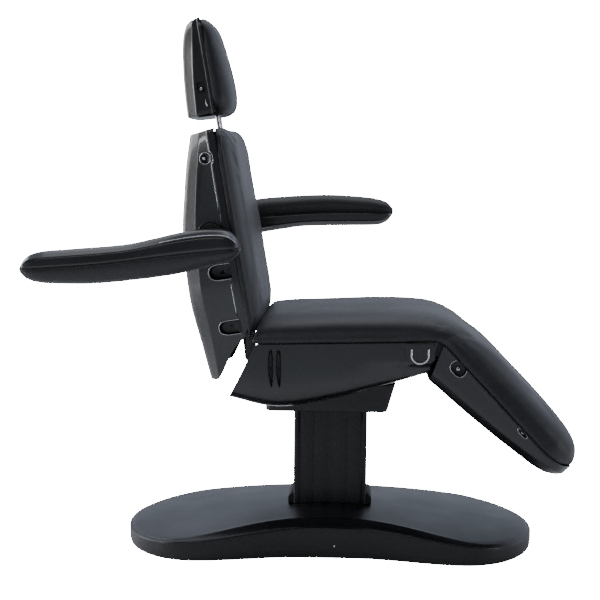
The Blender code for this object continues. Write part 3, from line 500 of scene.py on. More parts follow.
def cushion(name, rows, held, cap, swells):
    """A cushion's cover over closed rings, swollen by its filling; `swells` are undulate's settings."""
    verts, faces = grid(rows, closed=True, ends=True)
    pad = new_object(name, verts, faces, "vinyl")
    puff(pad, held, cap)
    undulate(pad, *swells)
    return settle(subdivide(pad), 60)


def stations_between(controls, count):
    """Even stations along (seam x, seam z, top x, top z, half width) controls."""
    table = np.array(controls, float)
    steps = np.linalg.norm(np.diff(table[:, 2:4], axis=0), axis=1)
    run = np.concatenate([[0.0], np.cumsum(steps)])
    stations = []
    for at in spread(0.0, run[-1], count):
        values = [smooth(list(zip(run, table[:, column])), at) for column in range(table.shape[1])]
        seam, top = np.array((values[0], 0.0, values[1])), np.array((values[2], 0.0, values[3]))
        depth = np.linalg.norm(top - seam)
        stations.append((seam, (top - seam) / depth, depth, values[4], 0.0))
    return stations


# ---------------------------------------------------------------- base

BASE_HALF_LENGTH = 0.515
BASE_WAIST, BASE_LOBE = 0.246, 0.298
BASE_END_START = 0.33
EDGE_LOW, EDGE_HIGH = 0.0415, 0.093     # height of the cover's top edge at its ends and at the column
CROWN = 0.010                           # how far the top rises to its middle
WAIST_REACH = 0.36                      # the dark band beside the waist runs this far along
COLUMN_HOLE = (0.103, 0.083)
COLUMN_HALF = (0.0925, 0.075)
COLUMN_CORNER = 0.008
COLUMN_ENDS = (0.0104, 0.3445)
GROOVES = ((-0.0755, 0.0011, 0.0016), (-0.042, 0.0011, 0.0016), (0.0, 0.0058, 0.0011), (0.042, 0.0011, 0.0016),
           (0.0755, 0.0011, 0.0016))    # middle, half width and depth of each
GROOVE_LIP = 0.0005
EAR_OUTER = 0.1055


def base_half_width(x):
    x = abs(x)
    if x > BASE_END_START:
        share = (x - BASE_END_START) / (BASE_HALF_LENGTH - BASE_END_START)
        return BASE_LOBE * math.sqrt(max(0.0, 1.0 - share**2))
    swell = max(0.0, (x - 0.06) / (BASE_END_START - 0.06))
    return BASE_WAIST + (BASE_LOBE - BASE_WAIST) * (3 * swell**2 - 2 * swell**3)


def cover_edge(x):
    reach = min(1.0, abs(x) / BASE_HALF_LENGTH)
    return EDGE_LOW + (EDGE_HIGH - EDGE_LOW) * math.cos(reach * math.pi / 2)**2


def base_plan():
    """Points round the base's plan with their outward directions."""
    quarter = [(BASE_HALF_LENGTH * math.sin(math.radians(a))**0.8) for a in spread(0.0, 90.0, 40)]
    right = [(x, base_half_width(x)) for x in quarter]
    top = right[::-1] + [(-x, w) for x, w in right[1:]]
    ring = top + [(x, -w) for x, w in top[::-1][1:-1]]
    plan = []
    for i, (x, y) in enumerate(ring):
        ax, ay = ring[i - 1]
        bx, by = ring[(i + 1) % len(ring)]
        normal = Vector((by - ay, -(bx - ax))).normalized()
        if normal.x * x + normal.y * y < 0 and abs(y) > 0.05:
            normal = -normal
        plan.append((x, y, normal.x, normal.y))
    return plan


def make_base():
    plan = base_plan()

    def waist(x):
        return max(0.0, 1.0 - (x / WAIST_REACH)**2)

    def ring(place):
        points = []
        for x, y, nx, ny in plan:
            inset, z = place(x)
            points.append((x - nx * inset, y - ny * inset, z))
        return points

    def wall_top(x):
        return cover_edge(x) - 0.005 - 0.012 * waist(x)

    def band(x):
        return 0.011 + 0.026 * waist(x)

    rows = [ring(lambda x: (0.0022, 0.0008)), ring(lambda x: (0.0008, 0.006)), ring(lambda x: (0.0, 0.016))]
    rows += [ring(lambda x, k=k: (0.0, 0.016 + (wall_top(x) - 0.019) * k)) for k in (0.25, 0.5, 0.75, 1.0)]
    for turn in (0.4, 0.75, 1.0):
        rows.append(ring(lambda x, t=turn: (0.0022 * t**2, wall_top(x) - 0.003 + 0.003 * math.sin(t * math.pi / 2))))
    for share in (0.12, 0.3, 0.5, 0.7, 0.88):
        hollow = math.sin(math.pi * share)
        rows.append(ring(lambda x, k=share, h=hollow: (
            0.0022 + (band(x) - 0.0022) * k,
            wall_top(x) + (cover_edge(x) - 0.0016 - wall_top(x)) * k - (0.0006 + 0.0034 * waist(x)) * h)))
    for turn in (0.35, 0.7, 1.0):
        rows.append(ring(lambda x, t=turn: (band(x) + 0.004 * t**1.6,
                                            cover_edge(x) - 0.0016 + 0.0020 * math.sin(t * math.pi / 2))))
    edge = rows[-1]
    for across in (0.97, 0.92, 0.84, 0.72, 0.58, 0.42, 0.25, 0.10, 0.0):
        rise = CROWN * (1 - across**2)
        row = []
        for x, y, z in edge:
            x_in = x * (0.80 + 0.20 * across)
            row.append((x_in, y * across, cover_edge(x_in) + 0.0004 + rise))
        rows.append(row)
    verts, faces = grid(rows, closed=True)
    cover = solidify(new_object("base_skin", verts, faces, "moulded"), 0.003)
    x, y = COLUMN_HOLE
    corners = ((x, y), (-x, y), (-x, -y), (x, -y))
    tool = prism("base_tool", corners, (0.05, 0.15))
    cut_away(cover, tool)
    settle(cover, 50)
    bpy.data.objects.remove(tool)
    ready(cover, "base", "gloss", "base_cover")
    for label, side in SIDES:
        screw(f"base_screw_{label}", (0.015, side * (BASE_WAIST - 0.0004), 0.031), (0, side, 0), 0.0030, "base")


def make_column():
    """The outer stage with its rounded corners and fine vertical grooves, and the ears beside its foot."""
    half_x, half_y = COLUMN_HALF
    face = []
    for middle, half, depth in GROOVES:
        steps = [(half + GROOVE_LIP, 0.0), (half + GROOVE_LIP * 0.3, GROOVE_LIP * 0.3), (half, GROOVE_LIP),
                 (half, depth)]
        face += [(middle - reach, deep) for reach, deep in steps]
        face += [(middle + reach, deep) for reach, deep in reversed(steps)]
    turns = [math.radians(a) for a in spread(90, 0, 9)]
    corner = [(half_x - COLUMN_CORNER * (1 - math.sin(a)), half_y - COLUMN_CORNER * (1 - math.cos(a))) for a in turns]
    top = corner + [(x, half_y - depth) for x, depth in reversed(face)] + [(-x, y) for x, y in corner[::-1]]
    outline = top + [(x, -y) for x, y in reversed(top)]
    low, high = COLUMN_ENDS
    levels = ((low, 0.955), (low, 0.985), (low + 0.001, 1.0), (high - 0.001, 1.0), (high, 0.985), (high, 0.955))
    verts, faces = grid([[(x * k, y * k, z) for x, y in outline] for z, k in levels], closed=True)
    skin = new_object("column_skin", verts, faces, "satin")
    skin.data.set_sharp_from_angle(angle=math.radians(35))
    ready(skin, "base", "satin", "column_outer")

    foot, ear_top = EDGE_HIGH + CROWN * 0.6, EDGE_HIGH + CROWN + 0.0195
    section = bend([(half_x + 0.0001, foot, 0), (EAR_OUTER, foot, 0.0), (EAR_OUTER, ear_top - 0.008, 0.003),
                    (0.0990, ear_top, 0.003), (half_x + 0.0001, ear_top, 0)], 4, 3)
    count = len(section)
    for label, side in (("front", 1), ("rear", -1)):
        rows = [[(side * x * k, y, z - drop) for x, z in section]
                for y, k, drop in ((-0.0665, 0.999, 0.0008), (-0.0650, 1, 0), (-0.03, 1, 0), (0.03, 1, 0),
                                   (0.0650, 1, 0), (0.0665, 0.999, 0.0008))]
        verts, faces = grid(rows)
        faces += [tuple(range(count)), tuple(range(5 * count, 6 * count))]
        ear = new_object(f"column_ear_{label}", verts, faces, "matte")
        ear.data.set_sharp_from_angle(angle=math.radians(35))
        ready(ear, "base", "matte", "column_collar")


# ---------------------------------------------------------------- seat shell

def seam_z(x):
    return KNEE.z + SEAM_ABOVE_KNEE + (x - KNEE.x) * math.tan(SEAT_RISE)


SEAT_KEEL = ((-0.25, 0.391), (-0.13, 0.366), (0.0, 0.386), (0.13, 0.423), (0.24, 0.459))
CREASE_Z = 0.487              # the fold that runs forward under the hook plate


def seat_side_inset(x, z):
    """How far the seat shell's side lies inside SEAT_HALF."""
    keel = smooth(SEAT_KEEL, x)
    top = seam_z(x)
    share = min(1.0, max(0.0, (top - z) / (top - keel)))
    inset = SEAT_HALF * (1 - (1 - share**8)**(1 / 6.0))
    forward = ease((x - 0.05) / 0.16)
    if z < CREASE_Z:
        under = min(1.0, (CREASE_Z - z) / max(0.01, CREASE_Z - keel - 0.012))
        inset += 0.011 * forward * math.sin(math.pi * min(1.0, under))**0.8
    return inset


def make_seat_shell():
    def low_front(depth):
        return -0.180 - 0.067 * depth, KNEE.x - 0.004 - 0.022 * depth

    drops = [0.0, 0.02, 0.06, 0.12, 0.18, 0.24, 0.30, 0.36, 0.42, 0.48, 0.54, 0.60, 0.66, 0.72, 0.78, 0.83, 0.875,
             0.91, 0.94, 0.965, 0.983, 0.995, 1.0]
    rows = []
    for share in spread(0.0, 1.0, 56):
        half = []
        for depth in drops:
            rear, front = low_front(depth)
            x = rear + (front - rear) * share
            top, keel = seam_z(x) - 0.001, smooth(SEAT_KEEL, x)
            z = top + (keel - top) * depth
            y = SEAT_HALF - seat_side_inset(x, z)
            if depth == 1.0:
                y = 0.0
            half.append((x, y, z))
        edge = half[-2]
        keel = half.pop()[2]
        half += [(edge[0], edge[1] * k, keel + (edge[2] - keel) * k**6) for k in (0.985, 0.95, 0.88, 0.75, 0.5, 0.25)]
        half.append((edge[0], 0.0, keel))
        rows.append(half + [(px, -py, pz) for px, py, pz in reversed(half[:-1])])
    heel = [(px + 0.004, py * 0.985, pz) for px, py, pz in rows[0]]
    nose = [(px - 0.003, py * 0.985, pz) for px, py, pz in rows[-1]]
    shell = moulding("seat_skin", [heel] + rows + [nose], sharp=40, wall=0.003)

    def on_wall(point, outset, side):
        x, z = point
        return x, side * (SEAT_HALF - seat_side_inset(x, z) + outset), z

    slots = []
    for x in (-0.1415, -0.1225):
        slot = []
        for px, pz in oval((x, 0.472), 0.0062, 0.044, 3.0, 36):
            low = max(0.0, (0.472 - pz) / 0.044)
            slot.append((x + (px - x) * (1 - 0.55 * low**1.5) + 0.003 * low, pz))
        slots.append(slot)
    opening = [(0.165 * math.copysign(abs(c)**0.35, c), 0.155 * math.copysign(abs(s)**0.35, s))
               for c, s in [(math.cos(math.tau * k / 32), math.sin(math.tau * k / 32)) for k in range(32)]]
    tool = prism("seat_tool", opening, (0.30, 0.47))
    cut_away(shell, tool)
    carve(shell, slots, on_wall)
    bpy.data.objects.remove(tool)
    ready(shell, "seat", "gloss", "seat_shell")
    # Painted shade: the slot insides get the darker 'hollow' colour.
    for number, slot in enumerate(slots, 1):
        cup(f"seat_slot_{number}", slot, 0.007, on_wall, "seat", floor=0.55, shift=(-0.0008, 0.0))


# ---------------------------------------------------------------- seat, knee and leg upholstery

def leg_half_width(x):
    straight = LEG_HALF + (LEG_HALF_TIP - LEG_HALF) * x / LEG_LENGTH
    corner = 0.085
    from_corner = x - (LEG_LENGTH - corner)
    if from_corner <= 0:
        return straight
    return straight - corner + math.sqrt(max(0.0, corner**2 - from_corner**2))


def make_seat_pad():
    """One cover over the seat, the knee and the leg rest; seam and top lines in side view."""
    on_seat = [
        (-0.1860, 0.5345, -0.1805, 0.552, 0.291), (-0.1850, 0.5325, -0.1725, 0.574, 0.295),
        (-0.174, 0.5305, -0.159, 0.5895, 0.297), (-0.120, 0.5306, -0.112, 0.5965, 0.298),
        (-0.064, 0.5319, -0.064, 0.5995, 0.298), (0.0, 0.5337, 0.0, 0.6025, 0.298),
        (0.10, 0.5363, 0.10, 0.6060, 0.298), (0.17, 0.5381, 0.17, 0.6070, 0.2975),
        (0.215, 0.5393, 0.215, 0.6050, 0.297), (0.250, 0.5402, 0.262, 0.5970, 0.2955),
        (0.260, 0.5395, 0.313, 0.5730, 0.293)]
    on_leg = [
        (0.020, 0.0085, 0.059, 0.0755), (0.10, 0.0085, 0.10, 0.0835), (0.20, 0.0085, 0.20, 0.0865),
        (0.30, 0.0085, 0.30, 0.0875), (0.345, 0.0085, 0.345, 0.0870), (0.38, 0.0105, 0.381, 0.0845),
        (0.41, 0.0160, 0.412, 0.0775), (0.428, 0.0230, 0.430, 0.0665), (0.4405, 0.0310, 0.4415, 0.0500)]
    controls = list(on_seat)
    for su, sv, tu, tv in on_leg:
        seam, top = LEG @ Vector((su, 0, sv)), LEG @ Vector((tu, 0, tv))
        controls.append((seam.x, seam.z, top.x, top.z, leg_half_width(min(tu, LEG_LENGTH - 0.008)) - 0.001))
    stations = stations_between(controls, 104)
    rows = pad_rows(stations, across=57, square=6.5, crown=2.6)

    def held(co):
        return co.x < KNEE.x and co.z < seam_z(co.x) + 0.012 or (LEG.inverted() @ co).z < 0.018

    pad = cushion("seat_leg_pad", rows, held, 0.003, (0.0011, 0.090, 3.0))
    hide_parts("seat_cushion", "knee_foam", "leg_cushion")
    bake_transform(pad)


# ---------------------------------------------------------------- leg rest shell

LEG_SEAM = ((0.0, 0.0085), (0.30, 0.0085), (0.345, 0.0085), (0.38, 0.0105), (0.41, 0.0160), (0.428, 0.0230),
            (0.4405, 0.0310), (0.447, 0.0330))
LEG_RIDGE = ((0.0, -0.060), (0.042, -0.055), (0.125, -0.047), (0.232, -0.035), (0.315, -0.023), (0.387, -0.008),
             (0.430, 0.0010), (0.447, 0.0040))
LEG_KEEL = ((0.0, -0.080), (0.05, -0.074), (0.127, -0.067), (0.231, -0.055), (0.314, -0.043), (0.392, -0.029),
            (0.434, -0.011), (0.447, -0.002))


def make_leg_shell():
    rows = []
    for share in spread(0.0, 1.0, 52):
        t = 1 - (1 - share)**1.7
        half = []
        rear_top, rear_low = 0.0078, 0.049

        def at(v_share):
            rear = rear_top + (rear_low - rear_top) * v_share
            return rear + (LEG_LENGTH - 0.0015 - rear) * t

        u = at(0.3)
        ridge, keel = smooth(LEG_RIDGE, u), smooth(LEG_KEEL, u)
        top = smooth(LEG_SEAM, u) - 0.0008
        half_width = leg_half_width(u)
        sink = 0.0065 * ease((LEG_LENGTH - 0.02 - u) / 0.06)
        round_in = min(0.030, half_width * 0.2)
        section = bend([(half_width - 0.001, top, 0), (half_width - 0.001 - sink * 0.2, top - 0.0018, 0.0008),
                        (half_width - 0.002 - sink, top - 0.0030, 0.0008), (half_width - 0.003 - sink, ridge, 0.004),
                        (half_width - round_in, keel, 0.010), (0.0, keel - 0.0006, 0)], 5, 6)
        section = mirrored(section)
        low = min(point[1] for point in section)
        for y, v in section:
            v_share = (top - v) / max(1e-6, top - low)
            half.append((at(v_share), y, v))
        rows.append(half)
    nose = max(v for _, _, v in rows[-1])
    rows.append([(u, y * 0.995, nose - (nose - v) * 0.5) for u, y, v in rows[-1]])
    rows.append([(u - 0.0006, y * 0.985, nose - 0.0004) for u, y, v in rows[-1]])
    shell = moulding("leg_skin", rows, LEG)

    def on_wall(point, outset, side):
        u, v = point
        y = leg_half_width(u) - 0.0088 + outset
        return LEG @ Vector((u, side * y, v))

    holes = [oval((0.073, -0.006), 0.020, 0.015, 2.6, 36), oval((0.293, 0.0015), 0.015, 0.0050, 2.2, 36)]
    carve(shell, holes, on_wall)
    ready(shell, "leg", "gloss", "leg_shell")
    for number, hole in enumerate(holes, 1):
        # Painted shade and highlight: the recess insides get the darker 'hollow' colour, and the bright 'edge' lips
        # round them stand for the light on their glossy rims.
        cup(f"leg_recess_{number}", hole, 0.008, on_wall, "leg", floor=0.85)
        for label, side in SIDES:
            lip(f"leg_lip_{label}_{number}", hole, 0.0009, on_wall, side, "leg")
    for label, side in SIDES:
        for number, (u, v, radius) in enumerate(((0.073, -0.006, 0.0055), (0.293, 0.0015, 0.0040)), 1):
            centre = on_wall((u, v), -0.0065, side)
            screw(f"leg_screw_{label}_{number}", centre, (0, side, 0), radius, "leg")


# ---------------------------------------------------------------- backrest

BACK_LOWEST = ((0.004, 0.004), (0.023, -0.006), (0.053, -0.031), (0.090, -0.085), (0.105, -0.097), (0.135, -0.092))
BACK_REAR = ((-0.10, 0.126), (-0.02, 0.1325), (0.10, 0.141), (0.23, 0.135), (0.29, 0.127), (0.35, 0.113),
             (0.42, 0.095), (0.50, 0.069))
BACK_FLANK = ((-0.10, 0.098), (0.07, 0.098), (0.17, 0.101), (0.30, 0.088), (0.36, 0.075), (0.42, 0.061),
              (0.50, 0.042))
BACK_WIDTH = ((-0.10, 0.236), (-0.03, 0.247), (0.02, 0.257), (0.08, 0.274), (0.14, 0.281), (0.50, 0.281))
RIM_DEPTH = 0.0225            # how far behind the seam the bright rim ridge runs
RIM_STEP = 0.0040
RIM_LINE_HIGH = ((0.490, 0.0248), (0.472, 0.0249), (0.456, 0.0249), (0.4515, 0.0225), (0.4475, 0.0190),
                 (0.440, 0.0180), (0.432, 0.0180), (0.4255, 0.0195), (0.4215, 0.0225), (0.417, 0.0249),
                 (0.38, 0.0250), (0.34, 0.0252), (0.300, 0.0255))
RIM_LINE_LOW = ((0.1435, 0.0258), (0.115, 0.0258), (0.080, 0.0258), (0.0475, 0.0258))


def back_side_y(s, t):
    width = smooth(BACK_WIDTH, s)
    flank = smooth(BACK_FLANK, s)
    return width - RIM_STEP - 0.016 * max(0.0, t - RIM_DEPTH - 0.002) / max(0.01, flank - RIM_DEPTH - 0.002)


def make_back_shell():
    rows = []
    for share in spread(0.0, 1.0, 74):
        def height(depth):
            low = smooth(BACK_LOWEST, depth)
            return low + (0.500 - 0.08 * depth - low) * share

        flank, rear = smooth(BACK_FLANK, height(0.06)), smooth(BACK_REAR, height(0.12))
        width = smooth(BACK_WIDTH, height(0.06))
        section = bend([(width + 0.0005, 0.0055, 0), (width + 0.0015, RIM_DEPTH, 0.0012),
                        (width - RIM_STEP, RIM_DEPTH + 0.002, 0.0012), (width - RIM_STEP - 0.016, flank, 0.0022),
                        (width - 0.050, rear * 0.965, 0.014), (0.0, rear + 0.002, 0)], 5, 6)
        rows.append([(-t, y * smooth(BACK_WIDTH, height(t)) / width, height(t)) for y, t in mirrored(section)])
    for turn in (25, 50, 75, 90):
        inset, rise = 0.006 * (1 - math.cos(math.radians(turn))), 0.005 * math.sin(math.radians(turn))
        rows.append([(-0.0055 + (x + 0.0055) * (1 - inset / 0.10), y * (1 - inset / BACK_HALF), s + rise)
                     for x, y, s in rows[73]])
    lid = rows[-1]
    rows += [[(-0.0055 + (x + 0.0055) * k, y * (0.9 + 0.1 * k), s + 0.0005) for x, y, s in lid] for k in (0.6, 0.1)]
    shell = moulding("back_skin", rows, BACK)

    def on_wall(point, outset, side):
        s, t = point
        return BACK @ Vector((-t, side * (back_side_y(s, t) + outset), s))

    pivot = BACK.inverted() @ ARM_PIVOT
    hub = (pivot.z, -pivot.x)

    def grip(centre, half_s, half_t):
        """A D: straight towards the rim, round to the rear."""
        square, rounder = oval(centre, half_s, half_t, 7.0, 48), oval(centre, half_s, half_t, 2.5, 48)
        return [a if a[1] < centre[1] else b for a, b in zip(square, rounder)]

    round_hole = oval((0.437, 0.0370), 0.0130, 0.0130, 2.0, 36)
    upper, lower = grip((0.164, 0.0465), 0.0180, 0.0275), grip((0.0275, 0.0465), 0.0170, 0.0275)
    carve(shell, [round_hole, upper, lower], on_wall)
    ready(shell, "backrest", "gloss", "back_shell")
    # Painted shade: the recess inside gets the darker 'hollow' colour.
    cup("back_screw_recess", round_hole, 0.009, on_wall, "backrest", floor=0.88)
    for label, side in SIDES:
        ring = [on_wall(point, 0.0008, side) for point in oval(hub, 0.0370, 0.0370, 2.0, 56)]
        tube(f"arm_ring_{label}", ring, 0.0022, "gloss", "backrest", "gloss", 12, closed=True)
        # Bright 'edge' lips round the pockets: a painted highlight on their glossy rims.
        for number, hole in enumerate((round_hole, upper, lower), 1):
            lip(f"back_lip_{label}_{number}", hole, 0.0011, on_wall, side, "backrest")
        # Bright 'edge' beads along the rim ridge: a painted highlight where the glossy rim catches the light.
        for number, run in enumerate((RIM_LINE_HIGH, RIM_LINE_LOW), 1):
            bead = []
            for s, t in run:
                y = smooth(BACK_WIDTH, s) + 0.0010 if t < RIM_DEPTH + 0.0005 else back_side_y(s, t)
                bead.append(BACK @ Vector((-t, side * y, s)))
            tube(f"rim_bead_{label}_{number}", bead, 0.0012, "edge", "backrest", "chrome", 10)
    # Painted shade: the recess insides get the darker 'hollow' colour.
    cup("back_recess_upper", upper, 0.013, on_wall, "backrest", floor=0.80, shift=(0.0, -0.003))
    cup("back_recess_lower", lower, 0.012, on_wall, "backrest", floor=0.78, shift=(0.002, -0.003))
    for label, side in SIDES:
        axis = BACK.to_3x3() @ Vector((0, side, 0))
        screw(f"back_screw_{label}", on_wall((0.437, 0.0400), -0.0070, side), axis, 0.0048, "backrest")


def make_back_pad():
    front = ((-0.004, 0.0010), (0.0151, 0.0165), (0.0367, 0.0300), (0.0587, 0.0340), (0.0815, 0.0350),
             (0.15, 0.0355), (0.36, 0.0345), (0.455, 0.0335), (0.478, 0.0320), (0.492, 0.0280), (0.500, 0.0210),
             (0.5035, 0.011))
    low_width = ((-0.004, 0.274), (0.010, 0.279), (0.035, 0.283), (0.08, 0.285), (0.14, 0.2855), (0.40, 0.2855),
                 (0.455, 0.283), (0.482, 0.274), (0.496, 0.262), (0.5035, 0.248))
    stations = []
    for share in spread(0.0, 1.0, 60):
        end = 0.5 - 0.5 * math.cos(math.pi * (0.10 + 0.90 * share)) if share < 1 else 1.0
        end = (end - 0.0245) / (1 - 0.0245)
        s = -0.004 + 0.5075 * min(1.0, max(0.0, end))
        depth = smooth(front, s) + BACK_SEAM
        seam = BACK @ Vector((-BACK_SEAM, 0, s))
        stations.append((seam, BACK.to_3x3() @ Vector((1, 0, 0)), depth, smooth(low_width, s), 0.0))
    rows = pad_rows(stations, across=61, square=6.5, crown=2.5)
    inverse = BACK.inverted()
    pad = cushion("back_pad", rows, lambda co: (inverse @ co).x < 0.008 or (inverse @ co).z < 0.05, 0.003,
                  (0.0010, 0.085, 7.0))
    ready(pad, "backrest", "vinyl", "back_cushion")


# ---------------------------------------------------------------- headrest

def make_headrest():
    rear = ((0.536, 0.082), (0.547, 0.082), (0.614, 0.078), (0.677, 0.071), (0.733, 0.061), (0.762, 0.050),
            (0.782, 0.036))
    strip = ((0.536, 0.053), (0.552, 0.052), (0.631, 0.046), (0.705, 0.036), (0.772, 0.026), (0.782, 0.020))
    rows = []
    heights = [0.5395, 0.5400, 0.5415, 0.5445] + spread(0.550, 0.766, 34) + [0.772, 0.7765, 0.7795, 0.781]
    for k, s in enumerate(heights):
        sink = {0: 0.10, 1: 0.55, 2: 0.88, 3: 0.98}.get(k, 1.0)
        grow = {0: 0.95, 1: 0.965, 2: 0.98, 3: 0.994}.get(k, 1.0)
        if s > 0.77:
            grow = 1 - 2.2 * (s - 0.766)
            sink = {0.772: 0.98, 0.7765: 0.90, 0.7795: 0.66, 0.781: 0.12}[s]
        edge, deep = smooth(strip, s), smooth(rear, s)
        section = bend([(0.1405, 0.0055, 0), (0.1412, 0.0128, 0.0010), (0.1385, 0.0142, 0.0010),
                        (0.1330, edge, 0.0018), (0.112, max(deep * 0.965, edge + 0.004), 0.010),
                        (0.0, deep, 0)], 5, 5)
        rows.append([(-0.0055 - (t - 0.0055) * sink, y * grow, s) for y, t in mirrored(section)])
    shell = moulding("head_skin", rows, BACK)

    def on_wall(point, outset, side):
        s, t = point
        share = (t - 0.0142) / (smooth(strip, s) - 0.0142)
        return BACK @ Vector((-t, side * (0.1385 - 0.0055 * share + outset), s))

    recess = oval((0.611, 0.0315), 0.0130, 0.0100, 2.6, 40)
    carve(shell, [recess], on_wall)
    ready(shell, "headrest", "gloss", "head_shell")
    # Painted shade: the recess inside gets the darker 'hollow' colour.
    cup("head_recess", recess, 0.009, on_wall, "headrest", floor=0.82)
    for label, side in SIDES:
        screw(f"head_screw_{label}", on_wall((0.609, 0.0315), -0.0070, side), (0, side, 0), 0.0052, "headrest")
        bar = [on_wall((s, 0.0230 + (s - 0.560) * 0.10), 0.0008, side) for s in (0.562, 0.570, 0.580)]
        tube(f"head_catch_{label}", bar, 0.0016, "chrome", "headrest", "chrome", 12)

    front = ((0.5385, 0.007), (0.540, 0.015), (0.5445, 0.0250), (0.555, 0.0345), (0.581, 0.0410), (0.626, 0.0405),
             (0.672, 0.0360), (0.716, 0.0305), (0.745, 0.0260), (0.766, 0.018), (0.775, 0.010), (0.7785, 0.004))
    width = ((0.5385, 0.108), (0.542, 0.120), (0.550, 0.131), (0.565, 0.140), (0.585, 0.1435), (0.70, 0.1435),
             (0.740, 0.140), (0.760, 0.132), (0.772, 0.120), (0.7785, 0.106))
    stations = []
    for share in spread(0.0, 1.0, 40):
        s = 0.5385 + 0.240 * (0.5 - 0.5 * math.cos(math.pi * share)) ** 0.9
        stations.append((BACK @ Vector((-BACK_SEAM - 0.0005, 0, s)), BACK.to_3x3() @ Vector((1, 0, 0)),
                         smooth(front, s) + BACK_SEAM, smooth(width, s), 0.0))
    rows = pad_rows(stations, across=37, square=4.4, crown=2.4)
    inverse = BACK.inverted()
    pad = cushion("head_pad", rows, lambda co: (inverse @ co).x < 0.006, 0.0025, (0.0007, 0.060, 11.0))
    ready(pad, "headrest", "vinyl", "head_cushion")


# ---------------------------------------------------------------- arms

ARM_UNDER = ((-0.072, 0.024), (-0.062, 0.000), (-0.042, -0.018), (0.0, -0.0235), (0.065, -0.0185), (0.126, -0.008),
             (0.20, 0.003), (0.33, 0.007), (0.405, 0.010), (0.430, 0.021), (0.4445, 0.041))
ARM_SEAM = ((-0.072, 0.0245), (0.067, 0.030), (0.257, 0.043), (0.4445, 0.0455))
ARM_TOP = ((-0.072, 0.033), (-0.062, 0.045), (-0.045, 0.0535), (-0.020, 0.0580), (0.000, 0.0610), (0.030, 0.0670),
           (0.052, 0.0720), (0.080, 0.0780), (0.188, 0.0865), (0.264, 0.090), (0.376, 0.0845), (0.414, 0.0775),
           (0.433, 0.068), (0.4445, 0.053))
ARM_KNUCKLE = spread(-0.066, 0.110, 26)   # where the bright bead, a painted highlight on the glossy corner, follows the shell's lower corner


def arm_half_width(x):
    half = ARM_WIDTH / 2
    for near, reach in ((x + 0.072, 0.035), (0.4445 - x, 0.055)):
        if near < reach:
            share = 1 - max(0.0, near) / reach
            return half * (0.52 + 0.48 * math.sqrt(max(0.0, 1 - share**2)))
    return half


def arm_stations():
    return [ARM_BACK + (ARM_FRONT - ARM_BACK) * (0.5 - 0.5 * math.cos(math.pi * k / 63)) for k in range(64)]


def make_arm(side):
    matrix, sign = ARMS[side]
    body = f"arm_{side}"
    middle = sign * (ARM_INNER + ARM_WIDTH / 2)
    rows = []
    for x in arm_stations():
        half, seam, low = arm_half_width(x), smooth(ARM_SEAM, x) - 0.0006, smooth(ARM_UNDER, x)
        deep = max(0.0006, seam - low)
        section = bend([(half * 0.965, seam, 0), (half, seam - 0.10 * deep, 0.0016),
                        (half * 0.985, seam - 0.62 * deep, 0.0030), (half * 0.62, low, 0.008),
                        (0.0, low - 0.0002, 0)], 6, 5)
        rows.append([(x, middle + y, z) for y, z in mirrored(section)])
    ready(moulding(f"arm_skin_{side}", rows, matrix, 40, 0.0022), body, "gloss", f"arm_shell_{side}")

    stations = []
    turn = matrix.to_3x3()
    for x in arm_stations():
        seam, top = smooth(ARM_SEAM, x) + 0.0006, smooth(ARM_TOP, x)
        base = matrix @ Vector((x, middle, seam))
        stations.append((Vector((base.x, 0, base.z)), turn @ Vector((0, 0, 1)), max(0.005, top - seam),
                         arm_half_width(x) - 0.0004, middle))
    rows = pad_rows(stations, across=29, square=3.2, crown=2.4, tuck=0.003)
    inverse = matrix.inverted()

    def held(co):
        return (inverse @ co).z < smooth(ARM_SEAM, (inverse @ co).x) + 0.008

    pad = cushion(f"arm_cover_{side}", rows, held, 0.002, (0.0005, 0.050, 17.0 + sign))
    ready(pad, body, "vinyl", f"arm_pad_{side}")

    # Bright 'edge' beads on the shell's lower corners: a painted highlight on the glossy plastic.
    for label, edge in SIDES:
        bead = []
        for x in ARM_KNUCKLE:
            seam, low = smooth(ARM_SEAM, x), smooth(ARM_UNDER, x)
            bead.append(matrix @ Vector((x, middle + edge * arm_half_width(x) * 0.945, seam - 0.735 * (seam - low))))
        tube(f"arm_knuckle_{side}_{label}", bead, 0.0010, "edge", body, "chrome", 10)

    for label, lift, inward in (("lower", 0.0004, 0.0), ("upper", 0.0062, 0.0002)):
        path = []
        for edge in (1, -1):
            for x in arm_stations()[1:-1][::edge]:
                half = arm_half_width(x) - 0.0006 - inward
                path.append(matrix @ Vector((x, middle + edge * half, smooth(ARM_SEAM, x) + lift)))
        tube(f"arm_seam_{label}_{side}", path, 0.0009, "thread", body, "vinyl", 8, closed=True)


# ---------------------------------------------------------------- pieces carried over from the frame

CARRIED = {
    "satin": ("arm_hub_left", "arm_hub_right", "head_cover"),
    "gloss": ("hook_plate",),
    "matte": ("mains_inlet", "control_box", "back_drive_body", "leg_drive_body", "head_rod_guide_left",
              "head_rod_guide_right"),
    "frame": ("seat_frame", "leg_frame", "back_frame", "arm_bar_left", "arm_bar_right"),
    "steel": ("base_plate", "column_middle", "column_inner", "head_plate", "lift_motor", "head_bracket"),
    "chrome": ("levelling_screw_1", "levelling_screw_2", "levelling_screw_3", "levelling_screw_4", "lift_spindle",
               "back_drive_rod", "leg_drive_rod", "hook_ring", "head_rod_left", "head_rod_right"),
    "brass": ("lift_nut",),
    "wood": ("seat_board", "back_board", "leg_board", "head_board"),
}
SOFT_EDGES = {"head_cover": 0.0045, "hook_plate": 0.0016,
              "arm_hub_left": 0.0012, "arm_hub_right": 0.0012, "control_box": 0.0030}


